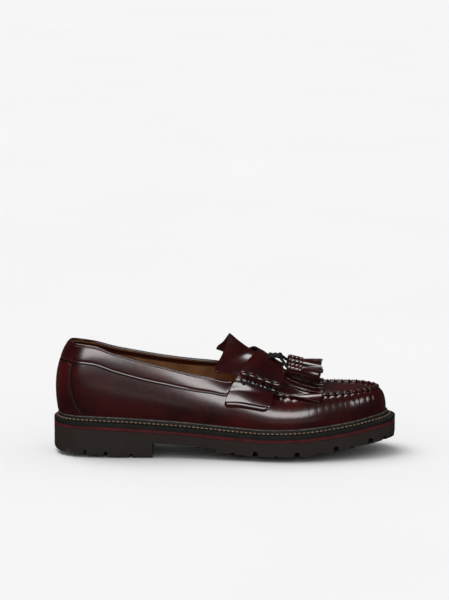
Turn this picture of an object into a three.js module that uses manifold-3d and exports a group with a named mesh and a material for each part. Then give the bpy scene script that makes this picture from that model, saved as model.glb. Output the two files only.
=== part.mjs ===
// Kiltie loafer, a right shoe: lugged rubber sole, hand-sewn apron, saddle strap, fringed flap and tassels.
// Millimetres. +X points to the toe, +Z up, the lateral side is at -Y, the origin is the middle of the footprint.
import * as THREE from 'three';
import { mergeVertices } from 'three/addons/utils/BufferGeometryUtils.js';
import Module from 'manifold-3d';

const wasm = await Module();
wasm.setup();

// Driving sizes of the sole
const SOLE_LENGTH = 300;
const BALL_WIDTH = 103;
const HEEL_WIDTH = 69;
const HEEL_STACK = 35.1;
const BALL_STACK = 26.3;
const TOE_STACK = 35.6;
const WELT_REACH = 6;
const HEEL_REACH = 5;
const TOE_REACH = 8.2;
const WELT_DROP = 3.5;
const WELT_EDGE = 3.1;
const MIDSOLE_THICK = 2.8;
const WAIST_THICK = 8.6;
const HEEL_BREAST = 87;
const TREAD_START = 142.4;
const HEEL_TUCK = 3.8;
const TREAD_STEP = 2.4;
const TOE_SPRING = 13;
const EDGE_RISE = 4.5;
const INSOLE_THICK = 4;

// Driving sizes of the tread
const DEEP_NOTCH = { width: 4.5, height: 4.5 };
const SHALLOW_NOTCH = { width: 2.8, height: 1.8 };
const HEEL_NOTCH = { width: 3.8, height: 3.6 };
const NOTCH_REACH = 14;
const CHANNEL_INSET = 18;
const CHANNEL_WIDTH = 3;
const CHANNEL_DEPTH = 3;
const CROSS_DEPTH = 2.6;

// Driving sizes of the upper
const WALL = 2;
const QUARTER_HEIGHT = 62.5;
const VAMP_HEIGHT = 31;
const WALL_INSET = 10;
const BELLY = 4;
const INSTEP_RISE = 25;
const APRON_RISE = 4.6;
const SEAM_RISE = 1.7;
const BAND_DEPTH = 15;
const BAND_THICK = 1.1;
const BACK_STRIP_REACH = 32;
const STRIP_FLARE = 0.4;

// Driving sizes of the strap, flap, lace and tassels
const STRAP_THICK = 1.8;
const STRAP_WIDTH = 37;
const ROLL_RADIUS = 2.75;
const KILTIE_THICK = 1.4;
const FLAP_REACH = 40;
const STRIP_COUNT = 8;
const SLOT_WIDTH = 0.8;
const TONGUE_HEIGHT = 16;
const TONGUE_LENGTH = 20;
const FAR_LIFT = 11.5;
const FAR_LEAN = 0.12;
const FLAP_LIFT = 1;
const LACE_THICK = 2.6;
const KNOT_RADIUS = 3.6;
const KNOT_SEAT = 0.9;
const EYELET_SPACING = 11;
const EYELET_INSET = 11.2;
const KNOT_INSET = 5.6;
const LACE_BOW = 1.6;
const TASSEL_HEAD = 14;
const TASSEL_SKIRT = 15.5;
const TASSEL_RADIUS = 5;
const TASSEL_LEAD = 8.2;
const TASSEL_SPREAD = 7.6;
const SKIRT_SPREAD = 1.32;
const SKIRT_STRIPS = 10;

// How far each tassel starts below the knot, and the way that it lies: shares of its run forward
const TASSELS = {
  lateral: { side: -1, drop: 9.2, out: -0.25, down: -0.215 },
  medial: { side: 1, drop: 5.4, out: 0.03, down: -0.24 },
};

// Fineness of the mesh, the clearance between pieces that meet, and how far a cutter stands out of the sole
const COLUMNS = 96;
const BAND_COLUMNS = 59;
const STRIP_COLUMNS = 17;
const STRAP_ROWS = 32;
const STRAP_COLUMNS = 5;
const GAP = 0.3;
const SIDES = 8;
const WELD = 0.01;
const CUT_REACH = 20;

// Footprint, from the heel's back along the lateral side to the toe and back along the medial side.
// along is a share of SOLE_LENGTH, heel a share of HEEL_WIDTH and ball a share of BALL_WIDTH.
const OUTLINE = [
  { along: 0, heel: 0, ball: 0 },
  { along: 0.017, heel: -0.275, ball: 0 },
  { along: 0.057, heel: -0.425, ball: 0 },
  { along: 0.15, heel: -0.5, ball: 0 },
  { along: 0.26, heel: -0.495, ball: 0 },
  { along: 0.367, heel: 0, ball: -0.352 },
  { along: 0.5, heel: 0, ball: -0.43 },
  { along: 0.65, heel: 0, ball: -0.514 },
  { along: 0.74, heel: 0, ball: -0.497 },
  { along: 0.817, heel: 0, ball: -0.437 },
  { along: 0.873, heel: 0, ball: -0.378 },
  { along: 0.92, heel: 0, ball: -0.306 },
  { along: 0.965, heel: 0, ball: -0.207 },
  { along: 0.99, heel: 0, ball: -0.1 },
  { along: 1, heel: 0, ball: 0.03 },
  { along: 0.99, heel: 0, ball: 0.155 },
  { along: 0.966, heel: 0, ball: 0.255 },
  { along: 0.92, heel: 0, ball: 0.354 },
  { along: 0.84, heel: 0, ball: 0.436 },
  { along: 0.73, heel: 0, ball: 0.486 },
  { along: 0.62, heel: 0, ball: 0.452 },
  { along: 0.51, heel: 0, ball: 0.365 },
  { along: 0.417, heel: 0, ball: 0.32 },
  { along: 0.317, heel: 0.472, ball: 0 },
  { along: 0.167, heel: 0.495, ball: 0 },
  { along: 0.06, heel: 0.425, ball: 0 },
  { along: 0.017, heel: 0.275, ball: 0 },
];

// Feather line, where the upper meets the welt: shares of the heel's and the toe's rise over the ball.
const FEATHER = [
  { at: 0, heel: 1, toe: 0 },
  { at: 0.11, heel: 0.95, toe: 0 },
  { at: 0.2, heel: 0.82, toe: 0 },
  { at: 0.28, heel: 0.625, toe: 0 },
  { at: 0.417, heel: 0.352, toe: 0 },
  { at: 0.48, heel: 0.216, toe: 0 },
  { at: 0.543, heel: 0.09, toe: 0 },
  { at: 0.61, heel: 0, toe: 0 },
  { at: 0.69, heel: 0, toe: 0.035 },
  { at: 0.737, heel: 0, toe: 0.1 },
  { at: 0.784, heel: 0, toe: 0.226 },
  { at: 0.877, heel: 0, toe: 0.55 },
  { at: 0.924, heel: 0, toe: 0.763 },
  { at: 1, heel: 0, toe: 1 },
];

// Underside of heel and tread: shares of the heel's tuck, the tread's step and the toe spring.
const UNDERSIDE = [
  { at: 0, tuck: 1.5, step: 0, toe: 0 },
  { at: 0.012, tuck: 1.05, step: 0, toe: 0 },
  { at: 0.06, tuck: 0.92, step: 0, toe: 0 },
  { at: 0.107, tuck: 0.8, step: 0, toe: 0 },
  { at: 0.154, tuck: 0.58, step: 0, toe: 0 },
  { at: 0.2, tuck: 0.24, step: 0, toe: 0 },
  { at: 0.238, tuck: 0, step: 0, toe: 0 },
  { at: 0.36, tuck: 0, step: 0, toe: 0 },
  { at: 0.47, tuck: 0, step: 1, toe: 0 },
  { at: 0.517, tuck: 0, step: 0.5, toe: 0 },
  { at: 0.567, tuck: 0, step: 0.2, toe: 0 },
  { at: 0.617, tuck: 0, step: 0, toe: 0 },
  { at: 0.715, tuck: 0, step: 0, toe: 0 },
  { at: 0.77, tuck: 0, step: 0, toe: 0.12 },
  { at: 0.823, tuck: 0, step: 0, toe: 0.28 },
  { at: 0.877, tuck: 0, step: 0, toe: 0.45 },
  { at: 0.93, tuck: 0, step: 0, toe: 0.645 },
  { at: 1, tuck: 0, step: 0, toe: 1 },
];

// Wall of the upper over the feather line, for each side: height as shares of QUARTER_HEIGHT and VAMP_HEIGHT,
// inset of its top as a share of WALL_INSET, belly as a share of BELLY, and the shoulder below the top.
const LATERAL_WALL = [
  { at: 0.017, quarter: 1, vamp: 0, inset: 0.9, belly: 0.95, shoulder: -0.36, shoulderUp: 0.68 },
  { at: 0.11, quarter: 0.982, vamp: 0, inset: 0.6, belly: 1, shoulder: -0.1, shoulderUp: 0.66 },
  { at: 0.183, quarter: 0.887, vamp: 0, inset: 0.5, belly: 0.9, shoulder: 0.2, shoulderUp: 0.66 },
  { at: 0.26, quarter: 0.802, vamp: 0, inset: 0.45, belly: 0.9, shoulder: 0.3, shoulderUp: 0.66 },
  { at: 0.333, quarter: 0.734, vamp: 0, inset: 0.5, belly: 0.9, shoulder: 0.3, shoulderUp: 0.66 },
  { at: 0.407, quarter: 0.662, vamp: 0, inset: 0.65, belly: 0.9, shoulder: 0.3, shoulderUp: 0.68 },
  { at: 0.483, quarter: 0.616, vamp: 0, inset: 0.9, belly: 0.9, shoulder: 0.28, shoulderUp: 0.72 },
  { at: 0.527, quarter: 0, vamp: 1.248, inset: 1.1, belly: 0.9, shoulder: 0.26, shoulderUp: 0.76 },
  { at: 0.583, quarter: 0, vamp: 1.117, inset: 1.5, belly: 0.9, shoulder: 0.25, shoulderUp: 0.85 },
  { at: 0.643, quarter: 0, vamp: 0.932, inset: 1.75, belly: 0.85, shoulder: 0.24, shoulderUp: 0.95 },
  { at: 0.703, quarter: 0, vamp: 0.854, inset: 1.65, belly: 0.8, shoulder: 0.22, shoulderUp: 1 },
  { at: 0.78, quarter: 0, vamp: 0.823, inset: 1.35, belly: 0.7, shoulder: 0.18, shoulderUp: 1.02 },
  { at: 0.85, quarter: 0, vamp: 0.784, inset: 1.1, belly: 0.5, shoulder: 0.14, shoulderUp: 1.02 },
  { at: 0.9, quarter: 0, vamp: 0.741, inset: 0.95, belly: 0.3, shoulder: 0.1, shoulderUp: 1.02 },
  { at: 0.975, quarter: 0, vamp: 0.658, inset: 0.85, belly: 0.1, shoulder: 0.1, shoulderUp: 1.02 },
];
const MEDIAL_WALL = [
  { at: 0.017, quarter: 1, vamp: 0, inset: 0.9, belly: 0.95, shoulder: -0.36, shoulderUp: 0.68 },
  { at: 0.11, quarter: 0.93, vamp: 0, inset: 0.6, belly: 1, shoulder: -0.1, shoulderUp: 0.66 },
  { at: 0.183, quarter: 0.849, vamp: 0, inset: 0.45, belly: 0.9, shoulder: 0.2, shoulderUp: 0.66 },
  { at: 0.26, quarter: 0.804, vamp: 0, inset: 0.25, belly: 1, shoulder: 0.1, shoulderUp: 0.66 },
  { at: 0.333, quarter: 0.768, vamp: 0, inset: 0.15, belly: 1.1, shoulder: 0, shoulderUp: 0.66 },
  { at: 0.407, quarter: 0.743, vamp: 0, inset: 0.15, belly: 1.1, shoulder: 0, shoulderUp: 0.68 },
  { at: 0.483, quarter: 0.724, vamp: 0, inset: 0.3, belly: 1.1, shoulder: 0.1, shoulderUp: 0.72 },
  { at: 0.527, quarter: 0, vamp: 1.433, inset: 0.5, belly: 1, shoulder: 0.2, shoulderUp: 0.76 },
  { at: 0.583, quarter: 0, vamp: 1.247, inset: 0.95, belly: 0.9, shoulder: 0.24, shoulderUp: 0.85 },
  { at: 0.643, quarter: 0, vamp: 1.004, inset: 1.45, belly: 0.85, shoulder: 0.24, shoulderUp: 0.95 },
  { at: 0.703, quarter: 0, vamp: 0.907, inset: 1.55, belly: 0.8, shoulder: 0.22, shoulderUp: 1 },
  { at: 0.78, quarter: 0, vamp: 0.85, inset: 1.45, belly: 0.7, shoulder: 0.18, shoulderUp: 1.02 },
  { at: 0.85, quarter: 0, vamp: 0.792, inset: 1.2, belly: 0.5, shoulder: 0.14, shoulderUp: 1.02 },
  { at: 0.9, quarter: 0, vamp: 0.741, inset: 1, belly: 0.3, shoulder: 0.1, shoulderUp: 1.02 },
  { at: 0.975, quarter: 0, vamp: 0.658, inset: 0.85, belly: 0.1, shoulder: 0.1, shoulderUp: 1.02 },
];

// Rise of the apron's crown over its two seams: shares of INSTEP_RISE and of APRON_RISE.
const CROWN = [
  { at: 0.467, instep: 1.14, apron: 0 },
  { at: 0.527, instep: 1.08, apron: 0 },
  { at: 0.59, instep: 0.95, apron: 0 },
  { at: 0.653, instep: 0.764, apron: 0 },
  { at: 0.717, instep: 0.4, apron: 0.2 },
  { at: 0.78, instep: 0.04, apron: 0.8 },
  { at: 0.85, instep: 0, apron: 0.6 },
  { at: 0.917, instep: 0, apron: 0.28 },
  { at: 0.95, instep: 0, apron: 0.1 },
];

// Lanes run across the instep: 0 is the crown, 1 the seam and 2 the feather line.
// Strap edges by lane: rear as a share of SOLE_LENGTH, width as a share of STRAP_WIDTH.
const STRAP = [
  { at: 0, rear: 0.595, width: 0.515 },
  { at: 0.5, rear: 0.572, width: 0.785 },
  { at: 0.75, rear: 0.553, width: 0.905 },
  { at: 0.9, rear: 0.539, width: 1 },
  { at: 1, rear: 0.53, width: 0.985 },
  { at: 1.12, rear: 0.521, width: 0.965 },
  { at: 1.3, rear: 0.509, width: 1.05 },
  { at: 1.45, rear: 0.502, width: 1.035 },
  { at: 1.55, rear: 0.4995, width: 0.94 },
];
const STRAP_END = 1.55;
const ROLL_LANE = 0.9;

// Flap in front of the strap: half-width in lanes and the reach of its edge, by the share of its run.
const FLAP_HALF = [
  { at: 0, lane: 0.88 },
  { at: 0.4, lane: 0.94 },
  { at: 1, lane: 1.36 },
];
const FLAP_EDGE = [
  { at: 0, reach: 1 },
  { at: 0.5, reach: 1 },
  { at: 0.8, reach: 0.97 },
  { at: 1, reach: 0.9 },
];
const FLAP_STEPS = [0.18, 0.34, 0.4, 0.55, 0.7, 0.85, 1];
const SLOT_FROM = 2;

// Free end of the tongue, from its peak to its lower corner: shares of TONGUE_LENGTH back from the strap,
// shares of the instep's half-width, and shares of TONGUE_HEIGHT up from the strap's crown.
const TONGUE = [
  { at: 0, back: 1.17, out: 0, up: 1.14 },
  { at: 0.35, back: 1.52, out: 0.46, up: 0.12 },
  { at: 0.7, back: 1.79, out: 0.74, up: -0.42 },
  { at: 1, back: 1.89, out: 0.92, up: -0.8 },
];
const TONGUE_STEPS = 4;

// Places of the notches, as shares of SOLE_LENGTH
const DEEP_PLACES = [0.588, 0.709, 0.823, 0.924];
const SHALLOW_PLACES = [0.523, 0.65, 0.769, 0.87, 0.966];
const HEEL_PLACES = [0.042, 0.093, 0.154, 0.228];

// Ends of the channels under the tread and the heel, as shares of the way round the footprint
const TREAD_CHANNEL = { from: 0.3125, to: 0.6875 };
const HEEL_CHANNEL = { from: -0.115, to: 0.115 };

// Part of the shoe that the instep's form is looked up on, as shares of the ribs from heel to toe
const FORM_SPAN = { from: 0.05, to: 0.98 };

// Levels below the feather line
const WELT_BASE = WELT_DROP + WELT_EDGE;
const MIDSOLE_TOP = WELT_BASE + GAP;
const MIDSOLE_BASE = MIDSOLE_TOP + MIDSOLE_THICK;
const OUTSOLE_TOP = MIDSOLE_BASE + GAP;

// Value of a table's column at a place, eased between the rows without overshoot
function lookup(rows, column, at) {
  const last = rows.length - 1;
  if (at <= rows[0].at) return rows[0][column];
  if (at >= rows[last].at) return rows[last][column];
  let row = 0;
  while (rows[row + 1].at < at) row += 1;
  const rise = (k) => (rows[k + 1][column] - rows[k][column]) / (rows[k + 1].at - rows[k].at);
  const slope = (k) => {
    if (k === 0) return rise(0);
    if (k === last) return rise(last - 1);
    const before = rise(k - 1);
    const after = rise(k);
    return before * after <= 0 ? 0 : (2 * before * after) / (before + after);
  };
  const span = rows[row + 1].at - rows[row].at;
  const t = (at - rows[row].at) / span;
  const low = rows[row][column];
  const high = rows[row + 1][column];
  const ease = t * t * (3 - 2 * t);
  const leave = t * (1 - t) * (1 - t) * span * slope(row);
  const arrive = t * t * (1 - t) * span * slope(row + 1);
  return low + (high - low) * ease + leave - arrive;
}

function smooth(value, from, to) {
  return THREE.MathUtils.smoothstep(value, from, to);
}

// Footprint sampled evenly round its edge, centred on the origin, with its outward directions
function sampleOutline() {
  const knots = OUTLINE.map(
    (row) => new THREE.Vector3(row.along * SOLE_LENGTH, row.heel * HEEL_WIDTH + row.ball * BALL_WIDTH, 0),
  );
  const curve = new THREE.CatmullRomCurve3(knots, true, 'centripetal');
  const finer = 8;
  const steps = COLUMNS * finer;
  curve.arcLengthDivisions = steps * 4;
  const toe = knots.findIndex((knot) => knot.x === SOLE_LENGTH) / knots.length;
  const toeShare = curve.getLengths()[Math.round(toe * curve.arcLengthDivisions)] / curve.getLength();
  const points = [];
  for (let i = 0; i < steps; i += 1) {
    const u = i / steps;
    const share = u < 0.5 ? u * 2 * toeShare : toeShare + (u - 0.5) * 2 * (1 - toeShare);
    points.push(curve.getPointAt(share));
  }
  const edge = points.filter((point, i) => i % finer === 0);
  const box = new THREE.Box3().setFromPoints(edge);
  const middle = box.getCenter(new THREE.Vector3());
  points.forEach((point) => point.sub(middle));
  return points;
}
const RIM = sampleOutline();

// Point of the footprint's edge and the direction out of it, for u from 0 at the heel's back to 1
function rimAt(u) {
  const place = (((u % 1) + 1) % 1) * RIM.length;
  const i = Math.floor(place) % RIM.length;
  const share = place - Math.floor(place);
  const pick = (k) => RIM[(i + k + RIM.length) % RIM.length];
  const point = pick(0).clone().lerp(pick(1), share);
  const tangent = pick(2).clone().sub(pick(-1)).lerp(pick(3).clone().sub(pick(0)), share).normalize();
  return { point, out: new THREE.Vector3(tangent.y, -tangent.x, 0) };
}

function shareAt(x) {
  return (x - RIM[0].x) / SOLE_LENGTH;
}

function placeOf(share) {
  return RIM[0].x + share * SOLE_LENGTH;
}

function featherHeight(x) {
  const at = shareAt(x);
  const heel = lookup(FEATHER, 'heel', at) * (HEEL_STACK - BALL_STACK);
  const toe = lookup(FEATHER, 'toe', at) * (TOE_STACK - BALL_STACK);
  return BALL_STACK + heel + toe;
}

function underside(x, edge = 0) {
  const at = shareAt(x);
  const tuck = lookup(UNDERSIDE, 'tuck', at) * HEEL_TUCK;
  const step = lookup(UNDERSIDE, 'step', at) * TREAD_STEP;
  const toe = lookup(UNDERSIDE, 'toe', at) * TOE_SPRING;
  const tread = smooth(x - placeOf(0), HEEL_BREAST, TREAD_START);
  return tuck + step + toe + tread * EDGE_RISE * smooth(Math.abs(edge), 0.72, 1);
}

// Width of the welt that shows outside the upper
function weltReach(x) {
  const at = shareAt(x);
  const reach = THREE.MathUtils.lerp(HEEL_REACH, WELT_REACH, smooth(at, 0, 0.3));
  return THREE.MathUtils.lerp(reach, TOE_REACH, smooth(at, 0.86, 0.98));
}

// Feather point of a column, set in from the edge of the sole
function featherAt(u) {
  const { point, out } = rimAt(u);
  point.addScaledVector(out, -weltReach(point.x));
  return { point, out };
}

// Outside of the upper's wall: v runs from 0 at the feather line to 1 at the top, and below 0 into the welt
function wallPoint(u, v) {
  const { point, out } = featherAt(u);
  const base = featherHeight(point.x);
  if (v <= 0) return point.setZ(base + v * WELT_BASE);
  const rows = ((u % 1) + 1) % 1 < 0.5 ? LATERAL_WALL : MEDIAL_WALL;
  const at = shareAt(point.x);
  const inset = lookup(rows, 'inset', at) * WALL_INSET;
  const height = lookup(rows, 'quarter', at) * QUARTER_HEIGHT + lookup(rows, 'vamp', at) * VAMP_HEIGHT;
  const low = 3 * (1 - v) * (1 - v) * v;
  const high = 3 * (1 - v) * v * v;
  const top = v * v * v;
  const belly = lookup(rows, 'belly', at) * BELLY;
  const shoulder = lookup(rows, 'shoulder', at) * inset;
  const lean = low * belly - high * shoulder - top * inset;
  const rise = low * 0.36 + high * lookup(rows, 'shoulderUp', at) + top;
  return point.addScaledVector(out, lean).setZ(base + rise * height);
}

// Outside of the instep and apron between the two tops of the wall: w runs from -1 lateral to 1 medial
function apronPoint(r, w) {
  const lateral = wallPoint(r / 2, 1);
  const medial = wallPoint(1 - r / 2, 1);
  const point = lateral.lerp(medial, (w + 1) / 2);
  const at = shareAt(point.x);
  const rise = lookup(CROWN, 'instep', at) * INSTEP_RISE + lookup(CROWN, 'apron', at) * APRON_RISE;
  point.z += rise * (1 - Math.abs(w) ** 2.2);
  return point;
}

function lanePoint(r, lane) {
  const reach = Math.abs(lane);
  if (reach <= 1) return apronPoint(r, lane);
  return wallPoint(lane < 0 ? r / 2 : 1 - r / 2, 2 - reach);
}

// Point of the instep's form on a lane at a place along the shoe
function formPoint(x, lane) {
  let low = FORM_SPAN.from;
  let high = FORM_SPAN.to;
  for (let i = 0; i < 26; i += 1) {
    const middle = (low + high) / 2;
    if (lanePoint(middle, lane).x < x) low = middle;
    else high = middle;
  }
  return lanePoint(low, lane);
}

function formNormal(x, lane) {
  const along = formPoint(x + 1, lane).sub(formPoint(x - 1, lane));
  const across = formPoint(x, lane + 0.03).sub(formPoint(x, lane - 0.03));
  return along.cross(across).normalize();
}

// Height of the sewn seam's ridge along the shoe: it fades out under the strap
function ridgeHeight(x) {
  return SEAM_RISE * smooth(shareAt(x), 0.6, 0.68);
}

// Clearance of the flap over the form, which lifts it over the seam's ridge
function flapClearance(x, lane) {
  return 1.5 * GAP + ridgeHeight(x) * smooth(Math.abs(lane), 0.5, 0.8);
}

function strapClearance(x, lane) {
  const over = flapClearance(x, lane) + KILTIE_THICK + 1.5 * GAP;
  return THREE.MathUtils.lerp(over, GAP, smooth(Math.abs(lane), 1, 1.22));
}

function strapRear(lane) {
  return placeOf(lookup(STRAP, 'rear', Math.abs(lane)));
}

function strapFront(lane) {
  return strapRear(lane) + lookup(STRAP, 'width', Math.abs(lane)) * STRAP_WIDTH;
}

// Indexed geometry from points and faces of three or four corners
function meshOf(points, faces) {
  const geometry = new THREE.BufferGeometry();
  const numbers = new Float32Array(points.flatMap((point) => [point.x, point.y, point.z]));
  geometry.setAttribute('position', new THREE.BufferAttribute(numbers, 3));
  const index = [];
  faces.forEach((face) => {
    index.push(face[0], face[1], face[2]);
    if (face.length === 4) index.push(face[0], face[2], face[3]);
  });
  geometry.setIndex(index);
  return geometry;
}

// Closed wall from an open surface: it is moved out by far and in by near along its normals, and its rims joined
function shell(points, faces, near, far) {
  const normals = points.map(() => new THREE.Vector3());
  faces.forEach((face) => {
    const corners = face.map((corner) => points[corner]);
    const last = corners[corners.length - 1];
    const across = corners[2].clone().sub(corners[0]);
    const normal = across.cross(last.clone().sub(corners[1]));
    face.forEach((corner) => normals[corner].add(normal));
  });
  normals.forEach((normal) => normal.normalize());
  const outer = points.map((point, i) => point.clone().addScaledVector(normals[i], far(i)));
  const inner = points.map((point, i) => point.clone().addScaledVector(normals[i], near(i)));
  const count = points.length;
  const edges = new Set();
  faces.forEach((face) => face.forEach((a, k) => edges.add(`${a},${face[(k + 1) % face.length]}`)));
  const closed = faces.map((face) => face.slice());
  faces.forEach((face) => closed.push(face.map((corner) => corner + count).reverse()));
  faces.forEach((face) =>
    face.forEach((a, k) => {
      const b = face[(k + 1) % face.length];
      if (!edges.has(`${b},${a}`)) closed.push([b, a, a + count, b + count]);
    }),
  );
  return meshOf([...outer, ...inner], closed);
}

// Faces of a grid whose points are stored row by row
function gridFaces(rows, columns, keep = () => true) {
  const faces = [];
  for (let row = 0; row < rows - 1; row += 1) {
    for (let column = 0; column < columns - 1; column += 1) {
      const a = row * columns + column;
      if (keep(row, column)) faces.push([a, a + columns, a + columns + 1, a + 1]);
    }
  }
  return faces;
}

// Solid between two levels of the footprint, set in from its edge, ruled by ribs from side to side
function slab(inset, columns, across, level, base) {
  const points = [];
  const ribs = columns / 2;
  const edgePoint = (u) => {
    const { point, out } = rimAt(u);
    return point.addScaledVector(out, -inset(point.x));
  };
  const ring = (height) => {
    const start = points.length;
    points.push(edgePoint(0));
    for (let rib = 1; rib < ribs; rib += 1) {
      const lateral = edgePoint(rib / columns);
      const medial = edgePoint(1 - rib / columns);
      for (let k = 0; k <= across; k += 1) points.push(lateral.clone().lerp(medial, k / across));
    }
    points.push(edgePoint(0.5));
    for (let i = start; i < points.length; i += 1) {
      const k = (i - start - 1) % (across + 1);
      const isTip = i === start || i === points.length - 1;
      points[i].z = height(points[i].x, isTip ? 1 : (2 * k) / across - 1);
    }
    return start;
  };
  const top = ring(level);
  const bottom = ring(base);
  const faces = [];
  const id = (start, rib, k) => {
    if (rib === 0) return start;
    if (rib === ribs) return start + 1 + (ribs - 1) * (across + 1);
    return start + 1 + (rib - 1) * (across + 1) + k;
  };
  const add = (corners) => {
    const distinct = corners.filter((corner, i) => corner !== corners[(i + 1) % corners.length]);
    if (distinct.length > 2) faces.push(distinct);
  };
  for (let rib = 0; rib < ribs; rib += 1) {
    for (let k = 0; k < across; k += 1) {
      add([id(top, rib, k), id(top, rib + 1, k), id(top, rib + 1, k + 1), id(top, rib, k + 1)]);
      add([id(bottom, rib, k), id(bottom, rib, k + 1), id(bottom, rib + 1, k + 1), id(bottom, rib + 1, k)]);
    }
    add([id(bottom, rib, 0), id(bottom, rib + 1, 0), id(top, rib + 1, 0), id(top, rib, 0)]);
    add([id(top, rib, across), id(top, rib + 1, across), id(bottom, rib + 1, across), id(bottom, rib, across)]);
  }
  return meshOf(points, faces);
}

// Solid through sections of equally many corners, closed into a ring or capped at its ends
function loft(sections, isRing) {
  const size = sections[0].length;
  const count = sections.length;
  const faces = [];
  for (let i = 0; i < (isRing ? count : count - 1); i += 1) {
    const next = (i + 1) % count;
    for (let k = 0; k < size; k += 1) {
      const turn = (k + 1) % size;
      faces.push([i * size + k, next * size + k, next * size + turn, i * size + turn]);
    }
  }
  for (let k = 1; k < size - 1 && !isRing; k += 1) {
    faces.push([0, k, k + 1]);
    faces.push([(count - 1) * size, (count - 1) * size + k + 1, (count - 1) * size + k]);
  }
  return meshOf(sections.flat(), faces);
}

// Round bar along a path, with a radius that changes along it and round it
function bar(path, steps, sides, radius) {
  const frames = path.computeFrenetFrames(steps, false);
  const sections = [];
  for (let i = 0; i <= steps; i += 1) {
    const t = i / steps;
    const centre = path.getPointAt(t);
    const section = [];
    for (let k = 0; k < sides; k += 1) {
      const angle = (-2 * Math.PI * k) / sides;
      const size = radius(t, k);
      const point = centre.clone().addScaledVector(frames.normals[i], Math.cos(angle) * size);
      section.push(point.addScaledVector(frames.binormals[i], Math.sin(angle) * size));
    }
    sections.push(section);
  }
  return loft(sections, false);
}

function solidOf(geometry) {
  const plain = geometry.clone();
  plain.deleteAttribute('normal');
  plain.deleteAttribute('uv');
  const merged = mergeVertices(plain, 1e-4);
  const mesh = new wasm.Mesh({
    numProp: 3,
    vertProperties: new Float32Array(merged.attributes.position.array),
    triVerts: new Uint32Array(merged.index.array),
  });
  return new wasm.Manifold(mesh);
}

function geometryOf(solid) {
  const mesh = solid.getMesh();
  const geometry = new THREE.BufferGeometry();
  geometry.setAttribute('position', new THREE.BufferAttribute(new Float32Array(mesh.vertProperties), 3));
  geometry.setIndex(new THREE.BufferAttribute(new Uint32Array(mesh.triVerts), 1));
  return geometry;
}

// Prism along Y of an outline drawn in X and Z
function prism(corners, fromY, toY) {
  const shape = new THREE.Shape(corners.map(([x, z]) => new THREE.Vector2(x, z)));
  const geometry = new THREE.ExtrudeGeometry(shape, { depth: toY - fromY, bevelEnabled: false });
  return geometry.rotateX(Math.PI / 2).translate(0, toY, 0);
}

function edgeAt(x, side) {
  const half = RIM.slice(0, RIM.length / 2 + 1);
  const rim = side < 0 ? half : [...RIM.slice(RIM.length / 2), RIM[0]].reverse();
  const next = Math.max(1, rim.findIndex((point) => point.x >= x));
  const span = rim[next].x - rim[next - 1].x;
  return THREE.MathUtils.lerp(rim[next - 1].y, rim[next].y, (x - rim[next - 1].x) / span);
}

// Round-topped notch into one side of the sole
function notch(x, size, side) {
  const edge = edgeAt(x, side);
  const base = underside(x, 1);
  const radius = size.width / 2;
  const corners = [[x - radius, base - CUT_REACH]];
  for (let i = 0; i <= 4; i += 1) {
    const angle = Math.PI * (1 - i / 4);
    corners.push([x + radius * Math.cos(angle), base + size.height - radius * (1 - Math.sin(angle))]);
  }
  corners.push([x + radius, base - CUT_REACH]);
  const inner = edge - side * NOTCH_REACH;
  const outer = edge + side * CUT_REACH;
  return solidOf(prism(corners, Math.min(inner, outer), Math.max(inner, outer)));
}

// Channel that follows the footprint's edge on the underside
function channel({ from, to }) {
  const sections = [];
  for (let column = Math.round(from * COLUMNS); column <= to * COLUMNS; column += 1) {
    const { point, out } = rimAt(column / COLUMNS);
    const near = point.clone().addScaledVector(out, -CHANNEL_INSET);
    const far = point.clone().addScaledVector(out, -CHANNEL_INSET - CHANNEL_WIDTH);
    const level = underside(near.x) + CHANNEL_DEPTH;
    const at = (base, z) => base.clone().setZ(z);
    sections.push([at(near, -CUT_REACH), at(near, level), at(far, level), at(far, -CUT_REACH)]);
  }
  return solidOf(loft(sections, false));
}

// Groove across the middle lugs
function crossGroove(x, width) {
  const level = underside(x) + CROSS_DEPTH;
  const reach = CHANNEL_INSET + CHANNEL_WIDTH / 2;
  const corners = [
    [x - width / 2, -CUT_REACH],
    [x - width / 2, level],
    [x + width / 2, level],
    [x + width / 2, -CUT_REACH],
  ];
  return solidOf(prism(corners, edgeAt(x, -1) + reach, edgeAt(x, 1) - reach));
}

// Space under the arch, from the heel's breast to the start of the tread
function archSpace() {
  const from = placeOf(0) + HEEL_BREAST;
  const to = placeOf(0) + TREAD_START;
  const steps = 6;
  const corners = [[from, -CUT_REACH]];
  for (let i = 0; i <= steps; i += 1) {
    const x = THREE.MathUtils.lerp(from, to, i / steps);
    corners.push([x, featherHeight(x) - OUTSOLE_TOP - WAIST_THICK]);
  }
  corners.push([to, -CUT_REACH]);
  return solidOf(prism(corners, -BALL_WIDTH, BALL_WIDTH));
}

function outsole() {
  let body = solidOf(slab(() => 0, COLUMNS, 4, (x) => featherHeight(x) - OUTSOLE_TOP, underside));
  const cuts = [archSpace(), channel(TREAD_CHANNEL), channel(HEEL_CHANNEL)];
  [-1, 1].forEach((side) => {
    DEEP_PLACES.forEach((share) => cuts.push(notch(placeOf(share), DEEP_NOTCH, side)));
    SHALLOW_PLACES.forEach((share) => cuts.push(notch(placeOf(share), SHALLOW_NOTCH, side)));
    HEEL_PLACES.forEach((share) => cuts.push(notch(placeOf(share), HEEL_NOTCH, side)));
  });
  DEEP_PLACES.slice(0, 3).forEach((share) => cuts.push(crossGroove(placeOf(share), DEEP_NOTCH.width)));
  SHALLOW_PLACES.slice(1, 4).forEach((share) => cuts.push(crossGroove(placeOf(share), SHALLOW_NOTCH.width)));
  HEEL_PLACES.slice(2).forEach((share) => cuts.push(crossGroove(placeOf(share), HEEL_NOTCH.width)));
  cuts.forEach((cut) => {
    body = body.subtract(cut);
  });
  return geometryOf(body.simplify(WELD));
}

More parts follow.
